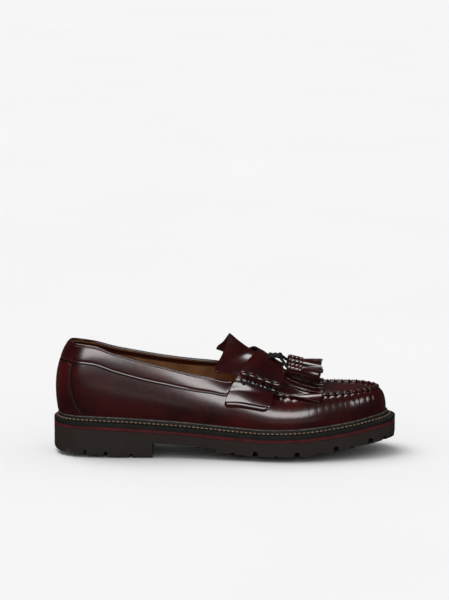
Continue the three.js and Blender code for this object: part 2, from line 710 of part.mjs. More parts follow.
function midsole() {
  return slab(() => 0, COLUMNS, 1, (x) => featherHeight(x) - MIDSOLE_TOP, (x) => featherHeight(x) - MIDSOLE_BASE);
}

// Welt ring: its top slopes up from the edge of the sole to the feather line
function welt() {
  const sections = [];
  for (let column = 0; column < COLUMNS; column += 1) {
    const edge = rimAt(column / COLUMNS).point;
    const { point, out } = featherAt(column / COLUMNS);
    point.addScaledVector(out, GAP);
    const ground = (base, drop) => base.clone().setZ(featherHeight(base.x) - drop);
    sections.push([ground(edge, WELT_BASE), ground(edge, WELT_DROP), ground(point, 0), ground(point, WELT_BASE)]);
  }
  return loft(sections, true);
}

function insole() {
  const inset = (x) => weltReach(x) + WALL + 3 * GAP;
  const top = WELT_BASE - INSOLE_THICK;
  return slab(inset, COLUMNS / 2, 2, (x) => featherHeight(x) - top, (x) => featherHeight(x) - WELT_BASE);
}

// Upper: wall columns all round, and apron ribs from the throat to the toe, with the raised seam between them
const WALL_ROWS = [-1, 0, 0.2, 0.42, 0.64, 0.82, 0.91, 0.955, 1];
const APRON_LANES = [-0.95, -0.9, -0.7, -0.42, -0.14, 0.14, 0.42, 0.7, 0.9, 0.95];
const THROAT_SHARE = 0.592;

function throatColumn() {
  let column = 1;
  while (shareAt(wallPoint(column / COLUMNS, 1).x) < THROAT_SHARE) column += 1;
  return column;
}

function upper() {
  const rows = WALL_ROWS.length;
  const toe = COLUMNS / 2;
  const throat = throatColumn();
  const points = [];
  const lift = [];
  for (let column = 0; column < COLUMNS; column += 1) {
    const fromToe = Math.abs(column - toe);
    WALL_ROWS.forEach((v) => {
      const point = wallPoint(column / COLUMNS, v);
      const isSewn = fromToe <= toe - throat && v > 0.92;
      points.push(point);
      lift.push(isSewn ? ridgeHeight(point.x) * (v === 1 ? 1 : 0.8) : 0);
    });
  }
  const faces = [];
  for (let column = 0; column < COLUMNS; column += 1) {
    const next = (column + 1) % COLUMNS;
    for (let row = 0; row < rows - 1; row += 1) {
      const [a, b] = [column * rows + row, next * rows + row];
      faces.push([a, b, b + 1, a + 1]);
    }
  }
  const topOf = (column) => column * rows + rows - 1;
  const ribs = [];
  for (let column = throat; column < toe; column += 1) {
    const rib = [topOf(column)];
    APRON_LANES.forEach((w) => {
      rib.push(points.length);
      const point = apronPoint((2 * column) / COLUMNS, w);
      points.push(point);
      lift.push(Math.abs(w) > 0.92 ? ridgeHeight(point.x) * 0.8 : 0);
    });
    rib.push(topOf(COLUMNS - column));
    ribs.push(rib);
  }
  ribs.forEach((rib, i) => {
    for (let k = 0; k < rib.length - 1; k += 1) {
      const next = ribs[i + 1];
      faces.push(next ? [rib[k], next[k], next[k + 1], rib[k + 1]] : [rib[k], topOf(toe), rib[k + 1]]);
    }
  });
  return shell(points, faces, () => -WALL, (i) => lift[i]);
}

// Overlay on the wall, offset from the upper's own function
function overlay(columns, rows, place) {
  const points = [];
  for (let row = 0; row < rows; row += 1) {
    for (let column = 0; column < columns; column += 1) points.push(place(column / (columns - 1), row / (rows - 1)));
  }
  const faces = gridFaces(rows, columns).map((face) => face.slice().reverse());
  return shell(points, faces, () => GAP, () => GAP + BAND_THICK);
}

// Share of the wall's height at the lower edge of the collar band
function bandEdge(u) {
  const top = wallPoint(u, 1);
  const base = wallPoint(u, 0);
  const depth = BAND_DEPTH * (1 - 0.2 * smooth(shareAt(top.x), 0.2, 0.5));
  return 1 - depth / (top.z - base.z);
}

// Column where a row of the wall reaches a place along the shoe
function columnAt(x, v, isLateral) {
  let low = 0.05;
  let high = 0.95;
  for (let i = 0; i < 26; i += 1) {
    const middle = (low + high) / 2;
    const u = isLateral ? middle / 2 : 1 - middle / 2;
    if (wallPoint(u, v).x < x) low = middle;
    else high = middle;
  }
  return isLateral ? low / 2 : 1 - low / 2;
}

function collarBand() {
  return overlay(BAND_COLUMNS, 3, (across, up) => {
    const lane = 1 + (1 - up) * 0.3;
    const front = strapRear(lane) - 3 * GAP;
    const from = columnAt(front, 2 - lane, false) - 1;
    const to = columnAt(front, 2 - lane, true);
    const u = THREE.MathUtils.lerp(from, to, across);
    return wallPoint(u, THREE.MathUtils.lerp(bandEdge(u), 1, up));
  });
}

function backStrip() {
  return overlay(STRIP_COLUMNS, 6, (across, up) => {
    const reach = BACK_STRIP_REACH * (1 + STRIP_FLARE * (1 - up) ** 3);
    const half = reach / (2 * SOLE_LENGTH + BALL_WIDTH);
    const u = THREE.MathUtils.lerp(-half, half, across);
    return wallPoint(u, THREE.MathUtils.lerp(0.04, bandEdge(u) - 0.02, up));
  });
}

// Saddle strap: an arch over the instep from one tab to the other
function strap() {
  const points = [];
  const clear = [];
  for (let row = 0; row < STRAP_ROWS; row += 1) {
    const lane = THREE.MathUtils.lerp(-STRAP_END, STRAP_END, row / (STRAP_ROWS - 1));
    for (let column = 0; column < STRAP_COLUMNS; column += 1) {
      const x = THREE.MathUtils.lerp(strapRear(lane), strapFront(lane), column / (STRAP_COLUMNS - 1));
      points.push(formPoint(x, lane));
      clear.push(strapClearance(x, lane));
    }
  }
  const faces = gridFaces(STRAP_ROWS, STRAP_COLUMNS).map((face) => face.slice().reverse());
  return shell(points, faces, (i) => clear[i], (i) => clear[i] + STRAP_THICK);
}

function overStrap(x, lane, height) {
  const rise = strapClearance(x, lane) + STRAP_THICK + height;
  return formPoint(x, lane).addScaledVector(formNormal(x, lane), rise);
}

// Corded roll along the foot of the saddle, drawn in where its four cords bind it
function roll(side) {
  const lane = side * ROLL_LANE;
  const from = strapRear(lane) + 1;
  const to = from + STRAP_WIDTH - 2;
  const points = [0, 0.25, 0.5, 0.75, 1].map((t) =>
    overStrap(THREE.MathUtils.lerp(from, to, t), lane, GAP + ROLL_RADIUS),
  );
  const steps = 20;
  const radius = (t) => {
    const step = Math.round(t * steps);
    if (step === 0 || step === steps) return ROLL_RADIUS * 0.7;
    return step % 4 === 0 ? ROLL_RADIUS * 0.84 : ROLL_RADIUS;
  };
  return bar(new THREE.CatmullRomCurve3(points), steps, SIDES, radius);
}

// Free end of the tongue at a share of its half-width, from -1 lateral to 1 medial
function tongueTip(share) {
  const crown = formPoint(strapRear(0), 0);
  const reach = Math.abs(share);
  const half = Math.abs(formPoint(strapRear(1), share < 0 ? -1 : 1).y);
  const x = crown.x - lookup(TONGUE, 'back', reach) * TONGUE_LENGTH;
  const y = Math.sign(share) * lookup(TONGUE, 'out', reach) * half;
  const far = Math.max(0, share) * FAR_LIFT;
  return new THREE.Vector3(x + far * FAR_LEAN, y, crown.z + lookup(TONGUE, 'up', reach) * TONGUE_HEIGHT + far);
}

// Flap and tongue in one piece: strips in front of the strap, plain under it, standing up behind it
function kiltie() {
  const shares = [];
  for (let strip = 0; strip < STRIP_COUNT; strip += 1) {
    const slot = SLOT_WIDTH / (2 * STRAP_WIDTH);
    shares.push(-1 + (2 * strip) / STRIP_COUNT + (strip > 0 ? slot : 0));
    shares.push(-1 + (2 * (strip + 1)) / STRIP_COUNT - (strip < STRIP_COUNT - 1 ? slot : 0));
  }
  const points = [];
  const near = [];
  const root = (share) => {
    const lane = share * FLAP_HALF[0].lane;
    return { x: strapRear(lane), lane };
  };
  for (let step = 0; step < TONGUE_STEPS; step += 1) {
    shares.forEach((share) => {
      const { x, lane } = root(share);
      const foot = formPoint(x, lane);
      points.push(tongueTip(share).lerp(foot, step / TONGUE_STEPS));
      near.push(flapClearance(x, lane));
    });
  }
  const tip = strapFront(0) + FLAP_REACH;
  [0, ...FLAP_STEPS].forEach((run) => {
    shares.forEach((share) => {
      const lane = share * lookup(FLAP_HALF, 'lane', run);
      const end = THREE.MathUtils.lerp(strapRear(0), tip, lookup(FLAP_EDGE, 'reach', Math.abs(share)));
      const x = THREE.MathUtils.lerp(root(share).x, end, run);
      points.push(formPoint(x, lane));
      near.push(flapClearance(x, lane) + FLAP_LIFT * smooth(run, 0.4, 1));
    });
  });
  const rows = TONGUE_STEPS + FLAP_STEPS.length + 1;
  const keep = (row, column) => row < TONGUE_STEPS + 1 + SLOT_FROM || column % 2 === 0;
  return shell(points, gridFaces(rows, shares.length, keep), (i) => near[i], (i) => near[i] + KILTIE_THICK);
}

// Lace: a bar between the two eyelets, the knot in front of it, and an end to each tassel
function knotCentre() {
  return overStrap(strapFront(0) - KNOT_INSET, 0, KNOT_RADIUS + KNOT_SEAT);
}

function tube(points, steps) {
  const shape = new THREE.Shape();
  for (let i = 0; i < 8; i += 1) {
    const angle = (2 * Math.PI * i) / 8;
    const [x, y] = [Math.cos(angle), Math.sin(angle)].map((part) => (part * LACE_THICK) / 2);
    if (i === 0) shape.moveTo(x, y);
    else shape.lineTo(x, y);
  }
  const path = new THREE.CatmullRomCurve3(points);
  return new THREE.ExtrudeGeometry(shape, { steps, extrudePath: path, bevelEnabled: false });
}

function laceBar() {
  const x = strapFront(0) - EYELET_INSET;
  const lane = EYELET_SPACING / 2 / Math.abs(formPoint(x, 1).y);
  const rest = GAP + LACE_THICK / 2;
  const points = [-1, -0.5, 0, 0.5, 1].map((share) =>
    overStrap(x + LACE_BOW * (1 - share * share), share * lane, rest),
  );
  return tube(points, 8);
}

function tasselStart({ side, drop }) {
  const knot = knotCentre();
  return new THREE.Vector3(knot.x + TASSEL_LEAD, side * TASSEL_SPREAD, knot.z - drop);
}

// Direction of a tassel, which lies forward on the flap
function tasselAim({ out, down }) {
  return new THREE.Vector3(1, out, down).normalize();
}

function laceEnd(placed) {
  const knot = knotCentre();
  const head = tasselStart(placed);
  const leave = head.clone().sub(knot).normalize().multiplyScalar(KNOT_RADIUS + GAP).add(knot);
  const stop = head.clone().sub(tasselAim(placed).multiplyScalar(4 * GAP));
  const middle = leave.clone().lerp(stop, 0.5).add(new THREE.Vector3(0, 0, 0.4));
  return tube([leave, middle, stop], 5);
}

// Tassel along +X: a wrapped head and a skirt of strips joined at the head
function tassel() {
  const length = TASSEL_HEAD + TASSEL_SKIRT;
  const path = new THREE.LineCurve3(new THREE.Vector3(), new THREE.Vector3(length, 0, 0));
  const neck = TASSEL_HEAD / length;
  const radius = (t, k) => {
    if (t < neck) return TASSEL_RADIUS * (t === 0 ? 0.72 : 1);
    const run = (t - neck) / (1 - neck);
    const spread = THREE.MathUtils.lerp(0.86, SKIRT_SPREAD, smooth(run, 0, 1));
    return TASSEL_RADIUS * spread * (k % 2 === 0 ? 1 : 0.86);
  };
  return bar(path, 6, SKIRT_STRIPS * 2, radius);
}

function material(color, roughness) {
  return new THREE.MeshStandardMaterial({ color, roughness, metalness: 0 });
}
const rubber = material('#2d2522', 0.75);
const redRubber = material('#451a1c', 0.6);
const weltLeather = material('#1c1715', 0.5);
const lining = material('#8a6444', 0.9);
const leather = material('#4a1014', 0.22);
const cord = material('#1a0d0c', 0.45);

const shoe = new THREE.Group();
function add(name, geometry, finish) {
  const mesh = new THREE.Mesh(geometry, finish);
  mesh.name = name;
  shoe.add(mesh);
  return mesh;
}

add('outsole', outsole(), rubber);
add('midsole', midsole(), redRubber);
add('welt', welt(), weltLeather);
add('insole', insole(), lining);
add('upper', upper(), leather);
add('collar_band', collarBand(), leather);
add('back_strip', backStrip(), leather);
add('strap', strap(), leather);
add('roll_lateral', roll(-1), leather);
add('roll_medial', roll(1), leather);
add('kiltie', kiltie(), leather);
add('lace_bar', laceBar(), cord);
const knot = add('lace_knot', new THREE.SphereGeometry(KNOT_RADIUS, SIDES, 7), cord);
knot.position.copy(knotCentre());
Object.entries(TASSELS).forEach(([side, placed]) => {
  add(`lace_end_${side}`, laceEnd(placed), cord);
  const piece = add(`tassel_${side}`, tassel(), leather);
  piece.position.copy(tasselStart(placed));
  piece.quaternion.setFromUnitVectors(new THREE.Vector3(1, 0, 0), tasselAim(placed));
});

export default shoe;
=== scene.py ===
"""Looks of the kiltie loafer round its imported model. Tables are in millimetres, finished meshes in metres."""

import math
from bisect import bisect_right
from functools import lru_cache

import bpy
from mathutils import Matrix, Vector


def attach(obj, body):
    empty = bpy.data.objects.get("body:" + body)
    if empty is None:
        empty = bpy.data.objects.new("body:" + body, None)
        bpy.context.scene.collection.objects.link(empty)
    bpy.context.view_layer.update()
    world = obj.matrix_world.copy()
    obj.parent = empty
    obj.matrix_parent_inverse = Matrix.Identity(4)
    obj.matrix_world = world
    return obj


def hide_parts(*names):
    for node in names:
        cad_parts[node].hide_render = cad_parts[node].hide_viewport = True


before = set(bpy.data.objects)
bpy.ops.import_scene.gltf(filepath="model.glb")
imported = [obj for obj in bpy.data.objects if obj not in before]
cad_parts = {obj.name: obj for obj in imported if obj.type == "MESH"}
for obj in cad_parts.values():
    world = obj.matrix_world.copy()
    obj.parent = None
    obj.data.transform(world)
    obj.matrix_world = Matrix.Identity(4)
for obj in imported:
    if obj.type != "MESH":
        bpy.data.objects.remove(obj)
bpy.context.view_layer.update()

MM = 0.001

# ---------------------------------------------------------------- the shoe's own form, as in the part

OUTLINE = (  # along, heel, ball
    (0, 0, 0), (0.017, -0.275, 0), (0.057, -0.425, 0), (0.15, -0.5, 0), (0.26, -0.495, 0), (0.367, 0, -0.352),
    (0.5, 0, -0.43), (0.65, 0, -0.514), (0.74, 0, -0.497), (0.817, 0, -0.437), (0.873, 0, -0.378),
    (0.92, 0, -0.306), (0.965, 0, -0.207), (0.99, 0, -0.1), (1, 0, 0.03), (0.99, 0, 0.155), (0.966, 0, 0.255),
    (0.92, 0, 0.354), (0.84, 0, 0.436), (0.73, 0, 0.486), (0.62, 0, 0.452), (0.51, 0, 0.365), (0.417, 0, 0.32),
    (0.317, 0.472, 0), (0.167, 0.495, 0), (0.06, 0.425, 0), (0.017, 0.275, 0))
FEATHER = (  # at, heel, toe
    (0, 1, 0), (0.11, 0.95, 0), (0.2, 0.82, 0), (0.28, 0.625, 0), (0.417, 0.352, 0), (0.48, 0.216, 0),
    (0.543, 0.09, 0), (0.61, 0, 0), (0.69, 0, 0.035), (0.737, 0, 0.1), (0.784, 0, 0.226), (0.877, 0, 0.55),
    (0.924, 0, 0.763), (1, 0, 1))
LATERAL_WALL = (  # at, quarter, vamp, inset, belly, shoulder, shoulder_up
    (0.017, 1, 0, 0.9, 0.95, -0.36, 0.68), (0.11, 0.982, 0, 0.6, 1, -0.1, 0.66),
    (0.183, 0.887, 0, 0.5, 0.9, 0.2, 0.66), (0.26, 0.802, 0, 0.45, 0.9, 0.3, 0.66),
    (0.333, 0.734, 0, 0.5, 0.9, 0.3, 0.66), (0.407, 0.662, 0, 0.65, 0.9, 0.3, 0.68),
    (0.483, 0.616, 0, 0.9, 0.9, 0.28, 0.72), (0.527, 0, 1.248, 1.1, 0.9, 0.26, 0.76),
    (0.583, 0, 1.117, 1.5, 0.9, 0.25, 0.85), (0.643, 0, 0.932, 1.75, 0.85, 0.24, 0.95),
    (0.703, 0, 0.854, 1.65, 0.8, 0.22, 1), (0.78, 0, 0.823, 1.35, 0.7, 0.18, 1.02),
    (0.85, 0, 0.784, 1.1, 0.5, 0.14, 1.02), (0.9, 0, 0.741, 0.95, 0.3, 0.1, 1.02),
    (0.975, 0, 0.658, 0.85, 0.1, 0.1, 1.02))
MEDIAL_WALL = (
    (0.017, 1, 0, 0.9, 0.95, -0.36, 0.68), (0.11, 0.93, 0, 0.6, 1, -0.1, 0.66),
    (0.183, 0.849, 0, 0.45, 0.9, 0.2, 0.66), (0.26, 0.804, 0, 0.25, 1, 0.1, 0.66),
    (0.333, 0.768, 0, 0.15, 1.1, 0, 0.66), (0.407, 0.743, 0, 0.15, 1.1, 0, 0.68),
    (0.483, 0.724, 0, 0.3, 1.1, 0.1, 0.72), (0.527, 0, 1.433, 0.5, 1, 0.2, 0.76),
    (0.583, 0, 1.247, 0.95, 0.9, 0.24, 0.85), (0.643, 0, 1.004, 1.45, 0.85, 0.24, 0.95),
    (0.703, 0, 0.907, 1.55, 0.8, 0.22, 1), (0.78, 0, 0.85, 1.45, 0.7, 0.18, 1.02),
    (0.85, 0, 0.792, 1.2, 0.5, 0.14, 1.02), (0.9, 0, 0.741, 1, 0.3, 0.1, 1.02),
    (0.975, 0, 0.658, 0.85, 0.1, 0.1, 1.02))
CROWN = (  # at, instep, apron
    (0.467, 1.14, 0), (0.527, 1.08, 0), (0.59, 0.95, 0), (0.653, 0.764, 0), (0.717, 0.4, 0.2), (0.78, 0.04, 0.8),
    (0.85, 0, 0.6), (0.917, 0, 0.28), (0.95, 0, 0.1))
STRAP = (  # lane, rear, width
    (0, 0.595, 0.515), (0.5, 0.572, 0.785), (0.75, 0.553, 0.905), (0.9, 0.539, 1), (1, 0.53, 0.985),
    (1.12, 0.521, 0.965), (1.3, 0.509, 1.05), (1.45, 0.502, 1.035), (1.55, 0.4995, 0.94))
FLAP_HALF = ((0, 0.88), (0.4, 0.94), (1, 1.36))  # run, lane
FLAP_EDGE = ((0, 1), (0.5, 1), (0.8, 0.97), (1, 0.9))  # share, reach
TONGUE = ((0, 1.17, 0, 1.14), (0.35, 1.52, 0.46, 0.12), (0.7, 1.79, 0.74, -0.42), (1, 1.89, 0.92, -0.8))

SOLE_LENGTH, BALL_WIDTH, HEEL_WIDTH = 300, 103, 69
WELT_DROP, WELT_BASE = 3.5, 6.6
STRAP_WIDTH, FLAP_REACH, ROLL_RADIUS = 37, 40, 2.75
BEAD_PITCH = 6.4


def eased(rows, column):
    """Function that eases a table's column between its rows without overshoot."""
    keys = [row[0] for row in rows]
    values = [row[column] for row in rows]
    rises = [(b - a) / (q - p) for a, b, p, q in zip(values, values[1:], keys, keys[1:])]
    slopes = [rises[0]]
    for before, after in zip(rises, rises[1:]):
        slopes.append(0 if before * after <= 0 else 2 * before * after / (before + after))
    slopes.append(rises[-1])

    def value(at):
        if at <= keys[0]:
            return values[0]
        if at >= keys[-1]:
            return values[-1]
        row = bisect_right(keys, at) - 1
        span = keys[row + 1] - keys[row]
        t = (at - keys[row]) / span
        rise = (values[row + 1] - values[row]) * t * t * (3 - 2 * t)
        leave = t * (1 - t) * (1 - t) * span * slopes[row]
        return values[row] + rise + leave - t * t * (1 - t) * span * slopes[row + 1]

    return value


FEATHER_HEEL, FEATHER_TOE = eased(FEATHER, 1), eased(FEATHER, 2)
WALLS = [[eased(rows, column) for column in range(1, 7)] for rows in (LATERAL_WALL, MEDIAL_WALL)]
INSTEP, APRON = eased(CROWN, 1), eased(CROWN, 2)
STRAP_BACK, STRAP_SPAN = eased(STRAP, 1), eased(STRAP, 2)
FLAP_LANE, FLAP_TIP = eased(FLAP_HALF, 1), eased(FLAP_EDGE, 1)
TONGUE_BACK, TONGUE_OUT, TONGUE_UP = (eased(TONGUE, column) for column in (1, 2, 3))


def lerp(a, b, t):
    return a + (b - a) * t


def smooth(value, start, stop):
    t = min(1, max(0, (value - start) / (stop - start)))
    return t * t * (3 - 2 * t)


def sample_outline():
    """Footprint's edge as 768 even points, centred, from the heel's back along the lateral side."""
    knots = [Vector((a * SOLE_LENGTH, h * HEEL_WIDTH + b * BALL_WIDTH, 0)) for a, h, b in OUTLINE]
    count, fine = len(knots), []
    toe = [row[0] for row in OUTLINE].index(1)
    for k in range(count):
        p = [knots[(k + i) % count] for i in (-1, 0, 1, 2)]
        d = [math.sqrt((p[i + 1] - p[i]).length) for i in range(3)]
        leave = ((p[1] - p[0]) / d[0] - (p[2] - p[0]) / (d[0] + d[1]) + (p[2] - p[1]) / d[1]) * d[1]
        arrive = ((p[2] - p[1]) / d[1] - (p[3] - p[1]) / (d[1] + d[2]) + (p[3] - p[2]) / d[2]) * d[1]
        for i in range(114):
            t = i / 114
            square = 3 * (p[2] - p[1]) - 2 * leave - arrive
            fine.append(p[1] + leave * t + square * t * t + (2 * (p[1] - p[2]) + leave + arrive) * t ** 3)
    runs = [0.0]
    for a, b in zip(fine, fine[1:] + fine[:1]):
        runs.append(runs[-1] + (b - a).length)
    toe_run, whole, points = runs[toe * 114], runs[-1], []
    for i in range(768):
        u = i / 768
        run = u * 2 * toe_run if u < 0.5 else toe_run + (u - 0.5) * 2 * (whole - toe_run)
        k = min(len(fine) - 1, bisect_right(runs, run) - 1)
        share = (run - runs[k]) / (runs[k + 1] - runs[k])
        points.append(fine[k].lerp(fine[(k + 1) % len(fine)], share))
    edge = points[::8]
    middle = Vector((
        (min(p.x for p in edge) + max(p.x for p in edge)) / 2, (min(p.y for p in edge) + max(p.y for p in edge)) / 2, 0))
    return [point - middle for point in points]


RIM = sample_outline()


def rim_at(u):
    place = (u % 1) * 768
    i = int(place)
    share = place - i
    pick = [RIM[(i + k) % 768] for k in (-1, 0, 1, 2, 3)]
    tangent = (pick[3] - pick[0]).lerp(pick[4] - pick[1], share).normalized()
    return pick[1].lerp(pick[2], share), Vector((tangent.y, -tangent.x, 0))


def share_at(x):
    return (x - RIM[0].x) / SOLE_LENGTH


def place_of(share):
    return RIM[0].x + share * SOLE_LENGTH


def feather_height(x):
    at = share_at(x)
    return 26.3 + FEATHER_HEEL(at) * 8.8 + FEATHER_TOE(at) * 9.3


def welt_reach(x):
    at = share_at(x)
    return lerp(lerp(5, 6, smooth(at, 0, 0.3)), 8.2, smooth(at, 0.86, 0.98))


@lru_cache(maxsize=None)
def stem(u):
    """What the wall's profile at one place round the shoe is made of."""
    point, out = rim_at(u)
    point = point - out * welt_reach(point.x)
    at = share_at(point.x)
    quarter, vamp, inset, belly, shoulder, up = (
        column(at) for column in WALLS[0 if u % 1 < 0.5 else 1])
    return point, out, feather_height(point.x), quarter * 62.5 + vamp * 31, inset * 10, belly * 4, shoulder, up


def wall(u, v):
    point, out, base, height, inset, belly, shoulder, up = stem(round(u % 1, 7))
    if v <= 0:
        return Vector((point.x, point.y, base + v * WELT_BASE))
    low, high, top = 3 * (1 - v) ** 2 * v, 3 * (1 - v) * v * v, v ** 3
    lean = low * belly - high * shoulder * inset - top * inset
    return Vector((point.x + out.x * lean, point.y + out.y * lean, base + (low * 0.36 + high * up + top) * height))


def wall_normal(u, v):
    along = wall(u + 0.0015, v) - wall(u - 0.0015, v)
    up = wall(u, min(1, v + 0.02)) - wall(u, v - 0.02)
    return along.cross(up).normalized()


def apron(r, w):
    point = wall(r / 2, 1).lerp(wall(1 - r / 2, 1), (w + 1) / 2)
    at = share_at(point.x)
    point.z += (INSTEP(at) * 25 + APRON(at) * 4.6) * (1 - abs(w) ** 2.2)
    return point


@lru_cache(maxsize=None)
def lane_line(step):
    """Points of one lane over the instep, from heel to toe."""
    lane, line = step / 50, []
    for i in range(281):
        r = 0.05 + 0.93 * i / 280
        if abs(lane) <= 1:
            line.append(apron(r, lane))
        else:
            line.append(wall(r / 2 if lane < 0 else 1 - r / 2, 2 - abs(lane)))
    return line, [point.x for point in line]


def on_line(step, x):
    line, places = lane_line(step)
    i = min(len(line) - 2, max(0, bisect_right(places, x) - 1))
    return line[i].lerp(line[i + 1], (x - places[i]) / max(1e-6, places[i + 1] - places[i]))


def form(x, lane):
    step = math.floor(lane * 50)
    return on_line(step, x).lerp(on_line(step + 1, x), lane * 50 - step)


def form_normal(x, lane):
    along = form(x + 1, lane) - form(x - 1, lane)
    return along.cross(form(x, lane + 0.03) - form(x, lane - 0.03)).normalized()


def ridge(x):
    return 1.7 * smooth(share_at(x), 0.6, 0.68)


def flap_clearance(x, lane):
    return 0.45 + ridge(x) * smooth(abs(lane), 0.5, 0.8)


def strap_clearance(x, lane):
    return lerp(flap_clearance(x, lane) + 1.85, 0.3, smooth(abs(lane), 1, 1.22))


def strap_rear(lane):
    return place_of(STRAP_BACK(abs(lane)))


def strap_front(lane):
    return strap_rear(lane) + STRAP_SPAN(abs(lane)) * STRAP_WIDTH


def over_strap(x, lane, height):
    return form(x, lane) + form_normal(x, lane) * (strap_clearance(x, lane) + 1.8 + height)


def column_at(x, v, is_lateral):
    low, high = 0.05, 0.95
    for _ in range(22):
        middle = (low + high) / 2
        if wall(middle / 2 if is_lateral else 1 - middle / 2, v).x < x:
            low = middle
        else:
            high = middle
    return low / 2 if is_lateral else 1 - low / 2


def band_edge(u):
    top, base = wall(u, 1), wall(u, 0)
    return 1 - 15 * (1 - 0.2 * smooth(share_at(top.x), 0.2, 0.5)) / (top.z - base.z)


# ---------------------------------------------------------------- finishes


def linear(code):
    """Linear colour of an sRGB hex code."""
    parts = [int(code[i:i + 2], 16) / 255 for i in (1, 3, 5)]
    return tuple(p / 12.92 if p <= 0.04045 else ((p + 0.055) / 1.055) ** 2.4 for p in parts) + (1,)


def per_mm(size):
    """Scale of a pattern whose features are size mm apart on Object coordinates."""
    return 1000 / size


def add_node(tree, kind, links=(), **settings):
    made = tree.nodes.new(kind)
    for name, value in settings.items():
        if hasattr(made, name):
            setattr(made, name, value)
        else:
            made.inputs[name.replace("_", " ").title()].default_value = value
    for socket, source in dict(links).items():
        tree.links.new(source, made.inputs[socket])
    return made


def finish(name, dark, light, grain, depth, roughness, coat=0.0, coat_roughness=0.1, patch=14, specular=0.5):
    """A finish with mottled colour, a fine grain in its bump and uneven gloss."""
    made = bpy.data.materials.new(name)
    made.use_nodes = True
    tree = made.node_tree
    shader = tree.nodes["Principled BSDF"]
    place = add_node(tree, "ShaderNodeTexCoord").outputs["Object"]
    cloud = add_node(tree, "ShaderNodeTexNoise", {"Vector": place}, scale=per_mm(patch), detail=4.0)
    ramp = add_node(tree, "ShaderNodeValToRGB", {"Fac": cloud.outputs["Fac"]})
    ramp.color_ramp.elements[0].position, ramp.color_ramp.elements[1].position = 0.34, 0.68
    ramp.color_ramp.elements[0].color, ramp.color_ramp.elements[1].color = linear(dark), linear(light)
    tree.links.new(ramp.outputs["Color"], shader.inputs["Base Color"])
    pores = add_node(tree, "ShaderNodeTexVoronoi", {"Vector": place}, scale=per_mm(grain))
    creases = add_node(tree, "ShaderNodeTexNoise", {"Vector": place}, scale=per_mm(grain * 4), detail=5.0)
    height = add_node(tree, "ShaderNodeMath", {0: pores.outputs["Distance"], 1: creases.outputs["Fac"]}, operation="ADD")
    bump = add_node(tree, "ShaderNodeBump", {"Height": height.outputs[0]}, strength=1.0, distance=depth * MM)
    tree.links.new(bump.outputs["Normal"], shader.inputs["Normal"])
    gloss = add_node(tree, "ShaderNodeMapRange", {"Value": creases.outputs["Fac"]})
    gloss.inputs["To Min"].default_value = roughness * 0.8
    gloss.inputs["To Max"].default_value = roughness * 1.2
    tree.links.new(gloss.outputs["Result"], shader.inputs["Roughness"])
    shader.inputs["Specular IOR Level"].default_value = specular
    shader.inputs["Coat Weight"].default_value = coat
    shader.inputs["Coat Roughness"].default_value = coat_roughness
    return made


# Wine brush-off leather, polished: near black in the folds, wine where it is rubbed
WINE = finish("wine_leather", "#2c0204", "#470808", 0.8, 0.012, 0.25, coat=0.3, coat_roughness=0.16, patch=34, specular=0.36)
# The same leather where it is handled less, on strips and straps
STRAP_WINE = finish("wine_strap_leather", "#2a0405", "#400a09", 0.7, 0.012, 0.22, coat=0.35, coat_roughness=0.12, patch=26, specular=0.4)
# Cut edges and flesh side, dyed dark
EDGE = finish("dyed_edge", "#140607", "#22100f", 0.5, 0.06, 0.6)
# Tan-brown napped lining
LINING = finish("napped_lining", "#9a6c45", "#b98a60", 0.4, 0.12, 0.9, specular=0.1)
# Brown-black moulded rubber
RUBBER = finish("moulded_rubber", "#2b211c", "#302620", 0.5, 0.03, 0.75, patch=20, specular=0.18)
# Thin dark red layer
RED_LAYER = finish("dark_red_layer", "#420a0d", "#5a1417", 0.5, 0.03, 0.7, patch=6, specular=0.15)
# Black-brown waxed welt
WELT = finish("waxed_welt", "#0c0a08", "#191512", 0.6, 0.06, 0.7, patch=5, specular=0.2)
# Pale grey on the bead along the welt's top: painted highlight where the bead's ridge catches the light
BEAD_PAINTED_HIGHLIGHT = finish("welt_bead_painted_highlight", "#3b352f", "#6f675f", 0.6, 0.05, 0.6, patch=3, specular=0.3)
# Tan waxed linen thread
TAN_THREAD = finish("tan_thread", "#8f6d49", "#b89a74", 0.3, 0.06, 0.6, patch=3)
# Dark waxed thread and lace, also used as painted shade in the dark tubes under the collar band's edge and under the
# rolls
CORD_AND_PAINTED_SHADE = finish("waxed_cord_and_painted_shade", "#0b0404", "#180808", 0.4, 0.03, 0.6, specular=0.2)
# Thread of the upper, dyed close to the leather
WINE_THREAD = finish("wine_thread", "#1c0c0a", "#4a2f28", 0.3, 0.03, 0.8, patch=3, specular=0.15)
# Floor of plain pale card
FLOOR = finish("pale_card", "#f5f5f5", "#f7f7f7", 3, 0.01, 0.9, patch=400, specular=0.0)


# ---------------------------------------------------------------- ways to shape a piece


def deselect():
    bpy.ops.object.select_all(action="DESELECT")


def sheet(name, columns, rows, place):
    """A primitive grid whose corners go where place(across, up) says, in mm."""
    deselect()
    bpy.ops.mesh.primitive_grid_add(x_subdivisions=columns, y_subdivisions=rows, size=1)
    piece = bpy.context.object
    piece.name = piece.data.name = name
    for vertex in piece.data.vertices:
        vertex.co = place(min(1, max(0, vertex.co.x + 0.5)), min(1, max(0, vertex.co.y + 0.5))) * MM
    return piece


def modify(piece, kind, **settings):
    deselect()
    piece.select_set(True)
    bpy.context.view_layer.objects.active = piece
    modifier = piece.modifiers.new(kind.title(), kind)
    for name, value in settings.items():
        setattr(modifier, name, value)
    bpy.ops.object.modifier_apply(modifier=modifier.name)


def weld(piece, turn_out=True, distance=0.00002):
    """Merges doubles, so that seams and poles close, and turns the faces out."""
    deselect()
    piece.select_set(True)
    bpy.context.view_layer.objects.active = piece
    bpy.ops.object.mode_set(mode="EDIT")
    bpy.ops.mesh.select_all(action="SELECT")
    bpy.ops.mesh.remove_doubles(threshold=distance)
    if turn_out:
        bpy.ops.mesh.normals_make_consistent(inside=False)
    bpy.ops.object.mode_set(mode="OBJECT")


